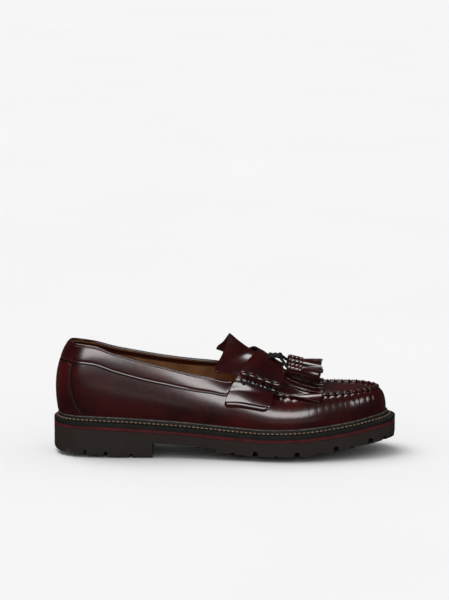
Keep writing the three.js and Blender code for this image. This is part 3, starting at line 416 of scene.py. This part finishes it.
def join(name, pieces):
    deselect()
    for piece in pieces:
        piece.select_set(True)
    bpy.context.view_layer.objects.active = pieces[0]
    if len(pieces) > 1:
        bpy.ops.object.join()
    joined = bpy.context.object
    joined.name = joined.data.name = name
    return joined


def dress(piece, nodes, slot, *materials, angle=45):
    """Smooths and paints a finished piece, hangs it under the root body and hides the parts it stands for."""
    deselect()
    piece.select_set(True)
    bpy.context.view_layer.objects.active = piece
    bpy.ops.object.shade_smooth_by_angle(angle=math.radians(angle))
    if not piece.data.materials:
        for material in materials:
            piece.data.materials.append(material)
    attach(piece, "root")
    if nodes:
        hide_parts(*nodes)
    return piece


def spine(points, steps, hint=(0, 0, 1)):
    """Even places on a smooth line through the points, each with its direction, side and up."""
    ends = [points[0] * 2 - points[1], *points, points[-1] * 2 - points[-2]]
    fine = []
    for a, b, c, d in zip(ends, ends[1:], ends[2:], ends[3:]):
        for i in range(12):
            t = i / 12
            fine.append(0.5 * ((2 * b) + (c - a) * t + (2 * a - 5 * b + 4 * c - d) * t * t + (3 * b - a - 3 * c + d) * t ** 3))
    fine.append(points[-1])
    runs = [0.0]
    for a, b in zip(fine, fine[1:]):
        runs.append(runs[-1] + (b - a).length)
    even = []
    for i in range(steps + 1):
        run = runs[-1] * i / steps
        k = min(len(fine) - 2, bisect_right(runs, run) - 1)
        even.append(fine[k].lerp(fine[k + 1], (run - runs[k]) / max(1e-9, runs[k + 1] - runs[k])))
    frames, up = [], Vector(hint)
    for i, point in enumerate(even):
        ahead = (even[min(steps, i + 1)] - even[max(0, i - 1)]).normalized()
        up = (up - ahead * up.dot(ahead)).normalized()
        frames.append((point, ahead, up.cross(ahead), up))
    return frames, runs[-1]


def tube(name, points, steps, sides, radius, hint=(0, 0, 1), caps=True, flat=1.0):
    """A round bar on a smooth line, its radius a function of the share along and the angle."""
    frames, _ = spine(points, steps, hint)

    def place(across, along):
        i = min(steps, round(along * steps))
        point, _, side, up = frames[i]
        angle = -2 * math.pi * across
        size = radius(along, angle)
        if caps and i in (0, steps):
            size = 0
        return point + side * math.cos(angle) * size + up * math.sin(angle) * size * flat

    piece = sheet(name, sides, steps, place)
    weld(piece)
    return piece


def repeat(name, template, matrices):
    """Copies of one modelled shape, joined into one mesh."""
    points = [vertex.co.copy() for vertex in template.data.vertices]
    faces = [tuple(polygon.vertices) for polygon in template.data.polygons]
    all_points, all_faces = [], []
    for matrix in matrices:
        first = len(all_points)
        all_points.extend(matrix @ point for point in points)
        all_faces.extend(tuple(first + corner for corner in face) for face in faces)
    mesh = bpy.data.meshes.new(name)
    mesh.from_pydata(all_points, [], all_faces)
    piece = bpy.data.objects.new(name, mesh)
    bpy.context.scene.collection.objects.link(piece)
    bpy.data.objects.remove(template)
    return piece


def stitch_shape(length, thick):
    """One thread stitch, lying along X at the origin."""
    deselect()
    bpy.ops.mesh.primitive_uv_sphere_add(segments=8, ring_count=6, radius=0.5)
    shape = bpy.context.object
    for vertex in shape.data.vertices:
        x = math.copysign(abs(vertex.co.x * 2) ** 0.6, vertex.co.x) / 2
        vertex.co = Vector((x * length, vertex.co.y * thick, vertex.co.z * thick)) * MM
    return shape


def stitches(name, line, pitch, length, thick, skip=0.0):
    """Stitches at an even pitch along a line of (point, normal)."""
    matrices, run, due = [], 0.0, pitch * 0.5 + skip
    for (a, n), (b, _) in zip(line, line[1:]):
        step = (b - a).length
        while run + step >= due and step > 1e-9:
            ahead = (b - a).normalized()
            side = n.cross(ahead).normalized()
            up = ahead.cross(side)
            matrix = Matrix((ahead, side, up)).transposed().to_4x4()
            matrix.translation = a.lerp(b, (due - run) / step) * MM
            matrices.append(matrix)
            due += pitch
        run += step
    return repeat(name, stitch_shape(length, thick), matrices)


# ---------------------------------------------------------------- camera, and the laces first


def set_camera():
    deselect()
    tilt = math.radians(10)
    aim = Vector((-0.0002, 0, 0.1341))
    bpy.ops.object.camera_add(location=aim + Vector((0, -math.cos(tilt), math.sin(tilt))) * 3)
    camera = bpy.context.object
    camera.rotation_euler = (math.radians(80), 0, 0)
    camera.data.sensor_fit = "HORIZONTAL"
    camera.data.sensor_width = 36
    camera.data.lens = 36 * 3 / 0.3928
    camera.data.clip_end = 50
    bpy.context.scene.camera = camera


set_camera()

KNOT = over_strap(strap_front(0) - 5.6, 0, 4.5)
TASSELS = {-1: (9.2, -0.25, -0.215), 1: (5.4, 0.03, -0.24)}


def tassel_start(side):
    drop = TASSELS[side][0]
    return Vector((KNOT.x + 8.2, side * 7.6, KNOT.z - drop))


def tassel_aim(side):
    _, out, down = TASSELS[side]
    return Vector((1, out, down)).normalized()


def lace_route(side):
    """From a strap hole, over the strap to the knot, and down into the tassel's head."""
    x = strap_front(0) - 11.2
    lane = 5.5 / abs(form(x, 1).y)
    hole = over_strap(x, side * lane, 0.9)
    rise = over_strap(x + 2.2, side * lane * 0.8, 1.9)
    head, aim = tassel_start(side), tassel_aim(side)
    through = KNOT + Vector((0.4, side * 0.8, 0))
    leave = KNOT.lerp(head, 0.5) + Vector((0, side * 0.6, 0.9))
    stops = [hole, rise, rise.lerp(through, 0.55) + Vector((0, 0, 0.4)), through, leave, head + Vector((0, 0, 0.1))]
    stops += [head + aim * reach for reach in (4, 8, 12)]
    frames, length = spine(stops, 26)
    return [place[0] for place in frames], length


def lace_end(name, side):
    route, length = lace_route(side)
    curve = bpy.data.curves.new(name, "CURVE")
    curve.dimensions = "3D"
    curve.bevel_depth = 1.3 * MM
    curve.bevel_resolution = 4
    curve.use_fill_caps = True
    spline = curve.splines.new("POLY")
    spline.points.add(len(route) - 1)
    for point, place in zip(spline.points, route):
        point.co = (*(place * MM), 1)
    curve.materials.append(CORD_AND_PAINTED_SHADE)
    piece = bpy.data.objects.new(name, curve)
    bpy.context.scene.collection.objects.link(piece)
    return piece, route[0] * MM, length * MM


def whipped(name, start, aim, length, radius, turns, wave):
    """Thong wound round a tassel's head, one bulge to a turn."""
    up = Vector((0, 0, 1))
    stop = start + aim * length

    def size(along, angle):
        run = along * turns % 1
        end = min(1, math.sin(math.pi * min(1, max(0, along))) * 3.2) ** 0.5
        return radius * (1 - wave + wave * math.sin(math.pi * run) ** 0.6) * (0.55 + 0.45 * end)

    return tube(name, [start, start.lerp(stop, 0.5), stop], 72, 28, size, up)


def tassel(name, side):
    """Wound head and a skirt of strips whose ends are cut unevenly."""
    start, aim = tassel_start(side), tassel_aim(side)
    head = whipped(name, start, aim, 14.6, 5.3, 4, 0.06)
    across = aim.cross(Vector((0, 0, 1))).normalized()
    up = across.cross(aim)
    parts = [head]
    for ring, count, spread, shorter in ((1.0, 10, 0.25, 0.0), (0.62, 7, 0.6, 1.2)):
        for k in range(count):
            angle = 2 * math.pi * (k + spread) / count
            out = across * math.cos(angle) + up * math.sin(angle)
            turn = aim.cross(out)
            ragged = 0.9 * math.sin(k * 2.4 + side) - shorter

            def place(s, t, out=out, turn=turn, ragged=ragged, ring=ring, k=k):
                run = 13.2 + t * (17 + ragged)
                away = (4.0 + 3.3 * t ** 0.8 + 0.45 * math.sin(k * 1.7 + t * 3)) * ring
                half = (1.5 + 0.55 * t) * ring ** 0.5
                bow = 0.22 * (1 - (2 * s - 1) ** 2)
                return start + aim * run + out * (away + bow) + turn * (s - 0.5) * 2 * half

            strip = sheet("strip", 4, 12, place)
            modify(strip, "SOLIDIFY", thickness=0.9 * MM, offset=-1)
            parts.append(strip)
    piece = join(f"{name}_fringe", parts)
    weld(piece)
    return dress(piece, [name], "leather", STRAP_WINE, angle=38)


def knot():
    """Flat overhand knot: two crossed turns of the lace."""
    parts = []
    for turn, (reach, width, rise) in enumerate(((3.1, 2.4, 0.0), (2.7, 2.9, 0.5))):
        points = []
        for i in range(13):
            angle = 2 * math.pi * i / 12
            x = math.cos(angle) * reach * (0.75 if turn else 1)
            y = math.sin(angle) * width
            z = math.sin(2 * angle + turn * 1.3) * 1.15 + rise
            points.append(KNOT + Vector((x, y, z - 0.3)))
        parts.append(tube("turn", points, 40, 12, lambda along, angle: 1.35, caps=False))
    middle = [KNOT + Vector((0, y, 0)) for y in (-2.2, 0, 2.2)]
    parts.append(tube("middle", middle, 12, 12, lambda along, angle: 2.1 * math.sin(math.pi * along) ** 0.5))
    return dress(join("tied_knot", parts), ["lace_knot"], "lace_cord", CORD_AND_PAINTED_SHADE)


knot_piece = knot()
for side, word in ((-1, "lateral"), (1, "medial")):
    tassel_piece = tassel(f"tassel_{word}", side)
    lace, lace_exit, lace_length = lace_end(f"lace_{word}", side)
    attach(lace, "root")
    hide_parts(f"lace_end_{word}")


def lace_bar():
    x = strap_front(0) - 11.2
    lane = 5.5 / abs(form(x, 1).y)
    points = [over_strap(x + 1.6 * (1 - share * share), share * lane, 1.5 - 2.2 * share ** 4) for share in (-1, -0.5, 0, 0.5, 1)]
    piece = tube("crossing_lace", points, 24, 14, lambda along, angle: 1.3 * min(1, math.sin(math.pi * along) * 6) ** 0.5)
    dress(piece, ["lace_bar"], "lace_cord", CORD_AND_PAINTED_SHADE)


lace_bar()

# ---------------------------------------------------------------- the upper, with its hand-sewn seam

THROAT = column_at(place_of(0.592), 1, True)
SEAM = [wall(THROAT + (1 - 2 * THROAT) * i / 1600, 1) for i in range(1601)]
SEAM_RUN = [0.0]
for near, far in zip(SEAM, SEAM[1:]):
    SEAM_RUN.append(SEAM_RUN[-1] + (far - near).length)


def seam_place(u):
    """Length of the seam up to a place round the shoe."""
    share = min(0.99999, max(0, (u - THROAT) / (1 - 2 * THROAT))) * 1600
    return lerp(SEAM_RUN[int(share)], SEAM_RUN[int(share) + 1], share % 1)


def gather(u, away, reach):
    """Leather drawn in at each hand stitch, deepest beside the seam."""
    run = seam_place(u) / BEAD_PITCH
    wave = abs(math.sin(math.pi * run))
    fade = math.exp(-away / reach) * smooth(share_at(wall(u, 1).x), 0.6, 0.66)
    drift = 0.85 + 0.3 * math.sin(run * 2.3) * math.sin(run * 0.71)
    return (wave ** 0.7 - 0.8) * 1.9 * fade * drift


def upper_shell():
    """Wall all round and apron on top, in one skin with its lining inside."""

    def turn(s):
        if abs(s - 0.5) <= 1 / 3:
            return 0.5 + (s - 0.5) * 3 * (0.5 - THROAT)
        rear = (abs(s - 0.5) - 1 / 3) * 6
        return 0.5 + math.copysign(lerp(0.5 - THROAT, 0.5, rear), s - 0.5)

    def side(s, t):
        u = turn(s)
        v = -0.9 + t * 6.9 if t < 0.13 else 1 - (1 - (t - 0.13) / 0.87) ** 1.45
        point = wall(u, v)
        is_front = 0.5 - abs(u - 0.5) > THROAT - 0.004
        if v < 0.35 or not is_front:
            return point
        away = (wall(u, 1) - point).length
        rise = ridge(point.x) * 0.62 * math.exp(-(away / 1.5) ** 2)
        return point + wall_normal(u, v) * (rise + gather(u, away, 5.6))

    def top(s, t):
        u = THROAT + t * (0.5 - THROAT)
        w = math.sin((s - 0.5) * math.pi)
        w = lerp(w, (s - 0.5) * 2, 0.45)
        point = apron(2 * u, w)
        edge = wall(u, 1) if w < 0 else wall(1 - u, 1)
        away = (edge - point).length
        if away < 0.001:
            return side(0.5 + (u - 0.5) / (3 * (0.5 - THROAT)) if w < 0 else 0.5 + (0.5 - u) / (3 * (0.5 - THROAT)), 1)
        rise = ridge(point.x) * 0.62 * math.exp(-(away / 1.3) ** 2)
        place = u if w < 0 else 1 - u
        return point + Vector((0, 0, rise + gather(place, away, 2.4) * 0.35))

    shell = join("upper_shell", [sheet("side", 720, 38, side), sheet("top", 46, 240, top)])
    weld(shell, distance=0.0001)
    shell.data.materials.append(WINE)
    shell.data.materials.append(LINING)
    modify(shell, "SOLIDIFY", thickness=1.9 * MM, offset=-1, material_offset=1, material_offset_rim=0)
    return dress(shell, ["upper"], "leather", angle=60)


upper_shell()


def seam_line(lift):
    start = 0.06
    line = []
    for i in range(801):
        u = lerp(THROAT, 1 - THROAT, lerp(start, 1 - start, i / 800))
        line.append((u, wall(u, 1) + Vector((0, 0, lift * smooth(share_at(wall(u, 1).x), 0.6, 0.68)))))
    return line


def apron_seam():
    """Raised seam: a roll of leather bound into beads, and the thread between them."""
    line = seam_line(1.15)
    runs = [seam_place(u) for u, _ in line]
    count = len(line) - 1

    def place(s, t):
        i = round(t * count)
        u, point = line[i]
        ahead = (line[min(count, i + 1)][1] - line[max(0, i - 1)][1]).normalized()
        out = Vector((ahead.y, -ahead.x, 0)).normalized()
        up = Vector((0, 0, 1))
        wave = abs(math.sin(math.pi * runs[i] / BEAD_PITCH)) ** 0.55
        size = (1.0 + 0.95 * wave) * (0 if i in (0, count) else 1)
        angle = -2 * math.pi * s
        return point + out * (math.cos(angle) * size * 0.85 + 0.5) + up * (math.sin(angle) * size * 1.1 - 0.55)

    beads = sheet("seam_beads", 12, count, place)
    weld(beads)
    dress(beads, ["upper"], "leather", WINE, angle=60)
    matrices, due = [], math.ceil(runs[0] / BEAD_PITCH) * BEAD_PITCH
    for i in range(1, count):
        if runs[i - 1] < due <= runs[i]:
            point = line[i][1]
            ahead = (line[i + 1][1] - line[i - 1][1]).normalized()
            out = Vector((ahead.y, -ahead.x, 0)).normalized()
            matrix = Matrix((out, ahead, Vector((0, 0, 1)))).transposed().to_4x4()
            matrix.translation = (point + out * 0.6 - Vector((0, 0, 0.6))) * MM
            matrices.append(matrix)
            due += BEAD_PITCH
    deselect()
    bpy.ops.mesh.primitive_torus_add(
        major_segments=16, minor_segments=6, major_radius=1.75 * MM, minor_radius=0.52 * MM,
        rotation=(math.radians(90), 0, 0))
    loop = bpy.context.object
    bpy.ops.object.transform_apply(rotation=True)
    for vertex in loop.data.vertices:
        vertex.co.z *= 1.15
    threads = repeat("seam_threads", loop, matrices)
    dress(threads, ["upper"], "leather", CORD_AND_PAINTED_SHADE, angle=80)


apron_seam()


def overlay(name, columns, rows, place, thick, round_edge=0.35):
    """Leather laid on the wall: place gives the point and its outward direction."""
    piece = sheet(name, columns, rows, lambda s, t: place(s, t)[0] + place(s, t)[1] * 0.3)
    weld(piece, turn_out=False)
    modify(piece, "SOLIDIFY", thickness=thick * MM, offset=1)
    weld(piece)
    if round_edge:
        modify(piece, "BEVEL", width=round_edge * MM, segments=2, limit_method="ANGLE", angle_limit=math.radians(60))
    return piece


def band_ends():
    front = strap_rear(1.0) - 0.9
    return column_at(front, 1, False) - 1, column_at(front, 1, True)


def collar_band():
    start, stop = band_ends()

    def place(s, t):
        lane = 1 + (1 - t) * 0.3
        front = strap_rear(lane) - 0.9
        u = lerp(column_at(front, 2 - lane, False) - 1, column_at(front, 2 - lane, True), s)
        v = lerp(band_edge(u), 0.985, t)
        normal = wall_normal(u, v)
        groove = 0.35 * math.exp(-((t - 0.12) / 0.05) ** 2)
        return wall(u, v) + normal * (0.25 * math.sin(math.pi * t) - groove), normal

    band = overlay("top_band", 200, 18, place, 1.1)
    dress(band, ["collar_band"], "leather", WINE, angle=50)
    roll = [wall(lerp(start, stop, i / 60), 1) - wall_normal(lerp(start, stop, i / 60), 0.97) * 0.4 for i in range(61)]
    binding = tube("top_binding", roll, 240, 12, lambda along, angle: 1.45, hint=(0, 0, 1))
    dress(binding, ["collar_band"], "leather", STRAP_WINE, angle=60)
    def inside(s, t):
        u = lerp(start, stop, s)
        depth = 4.5 + 9 * (1 - smooth(share_at(wall(u, 1).x), 0.02, 0.2))
        v = lerp(1 - depth / stem(round(u % 1, 7))[3], 0.985, t)
        return wall(u, v) - wall_normal(u, v) * (2.35 - 0.3 * (1 - t) ** 4)

    facing = sheet("top_facing", 200, 8, inside)
    modify(facing, "SOLIDIFY", thickness=0.5 * MM, offset=0)
    dress(facing, ["collar_band"], "leather", STRAP_WINE, angle=60)
    line = []
    for i in range(241):
        u = lerp(start + 0.004, stop - 0.004, i / 240)
        v = lerp(band_edge(u), 0.985, 0.12)
        line.append((wall(u, v) + wall_normal(u, v) * 1.25, wall_normal(u, v)))
    # A dark tube along the band's lower edge: painted shade for the groove under the band's edge
    low = [wall(u, band_edge(u)) + wall_normal(u, band_edge(u)) * 0.75 for u in
           (lerp(start + 0.001, stop - 0.001, i / 80) for i in range(81))]
    dress(tube("band_groove_painted_shade", low, 240, 8, lambda along, angle: 0.62), ["collar_band"], "leather", CORD_AND_PAINTED_SHADE, angle=80)
    thread = stitches("collar_stitches", line, 2.5, 1.9, 0.55)
    dress(thread, ["collar_band"], "leather", WINE_THREAD, angle=80)


collar_band()


def back_strip():
    def place(s, t):
        half = 32 * (1 + 0.4 * (1 - t) ** 3) / 703
        u = lerp(-half, half, s)
        v = lerp(0.04, band_edge(u) - 0.02, t)
        normal = wall_normal(u, v)
        edge = min(s, 1 - s) * 2 * half * 703
        return wall(u, v) + normal * (-0.3 * math.exp(-((edge - 2.2) / 0.5) ** 2)), normal

    strip = overlay("heel_strip", 90, 40, place, 1.1)
    dress(strip, ["back_strip"], "leather", WINE, angle=50)
    for word, s_of in (("near", 0), ("far", 1)):
        line = []
        for i in range(81):
            t = 0.02 + 0.96 * i / 80
            half = 32 * (1 + 0.4 * (1 - t) ** 3) / 703
            inset = 2.2 / (2 * half * 703)
            u = lerp(-half, half, inset if s_of == 0 else 1 - inset)
            v = lerp(0.04, band_edge(u) - 0.02, t)
            line.append((wall(u, v) + wall_normal(u, v) * 1.25, wall_normal(u, v)))
        rim = []
        for i in range(25):
            t = i / 24
            u = math.copysign(32 * (1 + 0.4 * (1 - t) ** 3) / 703, s_of - 0.5)
            v = lerp(0.04, band_edge(u) - 0.02, t)
            rim.append(wall(u, v) + wall_normal(u, v) * 0.7)
        dress(tube(f"strip_line_{word}", rim, 60, 8, lambda along, angle: 0.6), ["back_strip"], "leather", CORD_AND_PAINTED_SHADE, angle=80)
        thread = stitches(f"strip_stitches_{word}", line, 2.5, 1.9, 0.55)
        dress(thread, ["back_strip"], "leather", WINE_THREAD, angle=80)


back_strip()

# ---------------------------------------------------------------- strap, rolls and flap


def saddle_strap():
    def lane_of(t):
        away = abs(2 * t - 1)
        reach = away / 0.66 * 1.34 if away < 0.66 else 1.34 + (away - 0.66) / 0.34 * 0.21
        return math.copysign(reach, t - 0.5)

    def lay(lane, s):
        reach = abs(lane)
        x = lerp(strap_rear(lane), strap_front(lane), s)
        corner = smooth(reach, 1.47, 1.55) ** 2
        x = lerp(x, lerp(strap_rear(lane), strap_front(lane), 0.5), 0.05 * corner)
        normal = form_normal(x, lane)
        middle = min(1, abs(reach - 1.495) / 0.036)
        end = smooth(min(s, 1 - s), 0.015, 0.05)
        band = 0.85 * math.sqrt(max(0, 1 - middle * middle)) * end
        lines = 0.45 * math.exp(-((reach - 1.452) / 0.006) ** 2)
        crown = 0.35 * math.sin(math.pi * s) * smooth(1.25 - reach, 0, 0.4)
        return form(x, lane) + normal * (strap_clearance(x, lane) + band - lines + crown - 0.3), normal

    def place(s, t):
        return lay(lane_of(t), s)

    strap = overlay("saddle_strap", 44, 240, place, 1.8, 0.5)
    dress(strap, ["strap"], "leather", STRAP_WINE, angle=50)
    for word, side in (("lateral", -1), ("medial", 1)):
        for row, lane in (("upper", 1.452), ("lower", 1.538)):
            line = []
            for i in range(61):
                x = lerp(strap_rear(lane) + 1.2, strap_front(lane) - 1.2, i / 60)
                point, normal = lay(side * lane, (x - strap_rear(lane)) / (strap_front(lane) - strap_rear(lane)))
                line.append((point + normal * 2.1, normal))
            thread = stitches(f"tab_stitches_{row}_{word}", line, 2.3, 1.9, 0.75)
            dress(thread, ["strap"], "leather", CORD_AND_PAINTED_SHADE, angle=80)


saddle_strap()


def corded_roll(name, side):
    """Padded roll bound by four cord wraps; the dark cord loops below it are painted shade for the creases under each
    segment.
    """
    lane = side * 0.9
    start = strap_rear(lane) + 1
    points = [over_strap(start + 35 * t, lane, 0.3 + ROLL_RADIUS) for t in (0, 0.25, 0.5, 0.75, 1)]

    def size(along, angle):
        share = along * 5
        dip = abs(math.sin(math.pi * share)) ** 0.45
        end = min(1, math.sin(math.pi * along) * 7) ** 0.5
        return ROLL_RADIUS * (0.76 + 0.34 * dip) * (0.5 + 0.5 * end)

    roll = tube(f"{name}_leather", points, 140, 24, size)
    dress(roll, [name], "leather", STRAP_WINE, angle=60)
    frames, _ = spine(points, 100)
    parts = []
    for k in range(1, 5):
        for shift in (-0.55, 0.55):
            point, ahead, across, up = frames[k * 20]
            centre = point + ahead * shift
            ring = [centre + (across * math.cos(a) + up * math.sin(a)) * 2.55 for a in
                    (2 * math.pi * i / 14 for i in range(15))]
            parts.append(tube("wrap", ring, 28, 8, lambda along, angle: 0.62, hint=ahead, caps=False))
    # Dark cord loops between the wraps, below the roll: painted shade for the creases under each segment
    for k in range(5):
        a = start + 35 * (k / 5 + 0.02)
        b = start + 35 * ((k + 1) / 5 - 0.02)
        loop = [over_strap(lerp(a, b, t), side * (0.955 + 0.13 * math.sin(math.pi * t)), 0.7) for t in
                (0, 0.2, 0.4, 0.6, 0.8, 1)]
        parts.append(tube("loop", loop, 20, 8, lambda along, angle: 0.95))
    cords_and_painted_shade = join(f"{name}_cords", parts)
    dress(cords_and_painted_shade, [name], "leather", CORD_AND_PAINTED_SHADE, angle=80)


corded_roll("roll_lateral", -1)
corded_roll("roll_medial", 1)


def tongue_tip(share):
    crown = form(strap_rear(0), 0)
    reach = abs(share)
    half = abs(form(strap_rear(1), -1 if share < 0 else 1).y)
    far = max(0, share) ** 0.6 * 11.5
    soft = math.sqrt(reach * reach + 0.0016) - 0.02
    corner = 2.2 * smooth(reach, 0.86, 1) ** 2
    return Vector((
        crown.x - TONGUE_BACK(reach) * 20 + far * 0.12 + corner, math.copysign(TONGUE_OUT(reach) * half, share),
        crown.z + TONGUE_UP(soft) * 16 + far + corner * 0.4))


def flap_point(share, run):
    """Point of the flap; run is below 0 on the standing tongue."""
    if run < 0:
        lane = share * 0.88
        foot = form(strap_rear(lane), lane)
        foot += form_normal(strap_rear(lane), lane) * flap_clearance(strap_rear(lane), lane)
        tip = tongue_tip(share)
        point = tip.lerp(foot, 1 + run)
        return point + Vector((0, 0, -1.2 * math.sin(math.pi * -run) * (1 - abs(share)) ** 2))
    lane = share * FLAP_LANE(run)
    stop = lerp(strap_rear(0), strap_front(0) + FLAP_REACH, FLAP_TIP(abs(share)))
    x = lerp(strap_rear(share * 0.88), stop, run)
    return form(x, lane) + form_normal(x, lane) * (flap_clearance(x, lane) + smooth(run, 0.4, 1))


def kiltie():
    """Standing tongue and, in front of the strap, the flap's eight strips."""

    def back(s, t):
        share = 2 * s - 1
        share = math.copysign(abs(share) ** 1.25, share)
        return flap_point(share, lerp(-1, 0.2, t))

    parts = [sheet("tongue", 72, 40, back)]
    modify(parts[0], "SOLIDIFY", thickness=1.4 * MM, offset=1)
    for strip in range(8):
        left = -1 + strip / 4 + (0.0115 if strip else 0)
        right = -1 + (strip + 1) / 4 - (0.0115 if strip < 7 else 0)

        def place(s, t, strip=strip, left=left, right=right):
            run = lerp(0.18, 1 - 0.012 * (strip % 3), t)
            draw = 1 - 0.1 * smooth(run, 0.3, 0.7)
            middle = (left + right) / 2
            share = lerp(middle, lerp(left, right, s), draw)
            point = flap_point(share, run)
            crown = 0.25 * (1 - (2 * s - 1) ** 2) + 0.25 * math.sin(strip * 2.1 + 3 * run) * smooth(run, 0.5, 1)
            return point + Vector((0, 0, max(0, crown) * smooth(run, 0.3, 0.6)))

        piece = sheet("flap_strip", 10, 44, place)
        modify(piece, "SOLIDIFY", thickness=1.4 * MM, offset=1)
        weld(piece)
        modify(piece, "BEVEL", width=0.3 * MM, segments=2, limit_method="ANGLE", angle_limit=math.radians(60))
        parts.append(piece)
    flap = join("kiltie_flap", parts)
    dress(flap, ["kiltie"], "leather", STRAP_WINE, angle=45)


kiltie()

# ---------------------------------------------------------------- the sole


def welt_ring():
    """Storm welt: edge, slope with its stitch channel, and the bead against the upper."""
    profile = ((0, -WELT_BASE), (0, -WELT_DROP - 0.5), (0.06, -WELT_DROP), (0.3, -2.9), (0.42, -2.75), (0.55, -2.25),
               (0.68, -1.6), (0.78, -0.9), (0.84, 0.1), (0.9, 0.75), (0.97, 0.85), (1.0, 0.3), (1.0, -WELT_BASE), (0, -WELT_BASE))

    def place(s, t):
        k = round(t * (len(profile) - 1))
        inward, level = profile[k]
        edge, out = rim_at(s)
        reach = welt_reach(edge.x) - 0.3
        point = edge - out * reach * inward
        return Vector((point.x, point.y, feather_height(point.x) + level))

    piece = sheet("welt_ring", 480, len(profile) - 1, place)
    weld(piece)
    dress(piece, ["welt"], "welt_leather", WELT, angle=30)
    bead = []
    line = []
    for i in range(481):
        edge, out = rim_at(i / 480)
        reach = welt_reach(edge.x) - 0.3
        inner = edge - out * reach * 0.9
        bead.append(Vector((inner.x, inner.y, feather_height(inner.x) + 0.75)))
        mid = edge - out * reach * 0.56
        slope = (out + Vector((0, 0, 1.4))).normalized()
        line.append((Vector((mid.x, mid.y, feather_height(mid.x) - 1.95)), slope))
    count = 480

    def round_bead(s, t):
        i = round(t * count)
        point = bead[i]
        ahead = (bead[(i + 1) % count] - bead[(i - 1) % count]).normalized()
        out = Vector((ahead.y, -ahead.x, 0)).normalized()
        angle = -2 * math.pi * s
        return point + out * math.cos(angle) * 0.62 + Vector((0, 0, math.sin(angle) * 0.62))

    # The bead is coloured pale grey as a painted highlight along its ridge
    rope = sheet("welt_bead_painted_highlight", 8, count, round_bead)
    weld(rope)
    dress(rope, ["welt"], "welt_leather", BEAD_PAINTED_HIGHLIGHT, angle=80)
    thread = stitches("welt_stitches", line, 3.9, 2.7, 0.95)
    dress(thread, ["welt"], "welt_leather", TAN_THREAD, angle=80)


welt_ring()


def smooth_copy(node, name, material, slot):
    """The node's own mesh with its facets smoothed."""
    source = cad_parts[node]
    piece = bpy.data.objects.new(name, source.data.copy())
    bpy.context.scene.collection.objects.link(piece)
    piece.data.materials.clear()
    weld(piece, turn_out=False)
    return dress(piece, [node], slot, material, angle=34)


def even_side(piece):
    """Turns the normals of the sole's side wall to the footprint's own outward direction."""
    outs = [rim_at(i / 384) for i in range(384)]

    @lru_cache(maxsize=None)
    def out_at(x, y):
        near = min(outs, key=lambda place: (place[0].x - x) ** 2 + (place[0].y - y) ** 2)
        return near[1], math.hypot(near[0].x - x, near[0].y - y)

    mesh = piece.data
    normals = []
    for polygon in mesh.polygons:
        for loop in polygon.loop_indices:
            normal = mesh.corner_normals[loop].vector.copy()
            point = mesh.vertices[mesh.loops[loop].vertex_index].co / MM
            out, away = out_at(round(point.x, 2), round(point.y, 2))
            if away < 1.2 and polygon.normal.dot(out) > 0.85:
                normal = Vector((out.x, out.y, polygon.normal.z)).normalized()
            elif polygon.normal.dot(out) <= 0.85 and abs(polygon.normal.z) < 0.3:
                normal = polygon.normal.copy()
            normals.append(normal)
    mesh.normals_split_custom_set(normals)


even_side(smooth_copy("outsole", "lugged_sole", RUBBER, "rubber"))
even_side(smooth_copy("midsole", "red_layer", RED_LAYER, "red_rubber"))
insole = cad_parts["insole"]
insole.data.materials.clear()
insole.data.materials.append(LINING)

# ---------------------------------------------------------------- floor and light


def studio():
    deselect()
    bpy.ops.mesh.primitive_plane_add(size=14, location=(0, 2, 0))
    floor = bpy.context.object
    floor.name = "floor"
    floor.data.materials.append(FLOOR)
    floor.visible_glossy = False
    for name, place, aim, size, height, power in (
            ("front_box", (-0.15, -1.55, 0.98), (0, 0, 0.05), 1.8, 0.66, 40),
            ("top_box", (-0.3, 0.7, 1.7), (0, 0, 0.05), 1.4, 0.7, 22),
            ("low_card", (0.2, -1.8, 0.1), (0, 0, 0.05), 1.8, 0.08, 0.7),
            ("toe_box", (1.6, -0.7, 0.9), (0, 0, 0.05), 0.5, 0.5, 7)):
        deselect()
        bpy.ops.object.light_add(type="AREA", location=place)
        light = bpy.context.object
        light.name = name
        light.rotation_euler = (Vector(aim) - Vector(place)).to_track_quat("-Z", "Y").to_euler()
        light.data.shape = "RECTANGLE"
        light.data.size = size
        light.data.size_y = height
        light.data.energy = power
        light.visible_diffuse = False
    deselect()
    bpy.ops.object.light_add(type="SUN", rotation=(math.radians(-14), math.radians(-22), 0))
    sun = bpy.context.object
    sun.name = "soft_sky"
    sun.data.energy = 1.75
    sun.data.angle = math.radians(46)
    sun.visible_glossy = False
    world = bpy.data.worlds.new("studio")
    bpy.context.scene.world = world
    world.use_nodes = True
    tree = world.node_tree
    back = tree.nodes["Background"]
    rays = add_node(tree, "ShaderNodeLightPath")
    level = add_node(tree, "ShaderNodeMapRange", {"Value": rays.outputs["Is Glossy Ray"]})
    level.inputs["To Min"].default_value = 0.5
    level.inputs["To Max"].default_value = 0.03
    tree.links.new(level.outputs["Result"], back.inputs["Strength"])
    back.inputs["Color"].default_value = (1, 1, 1, 1)
    bpy.context.scene.view_settings.view_transform = "Standard"
    bpy.context.scene.view_settings.look = "None"


studio()
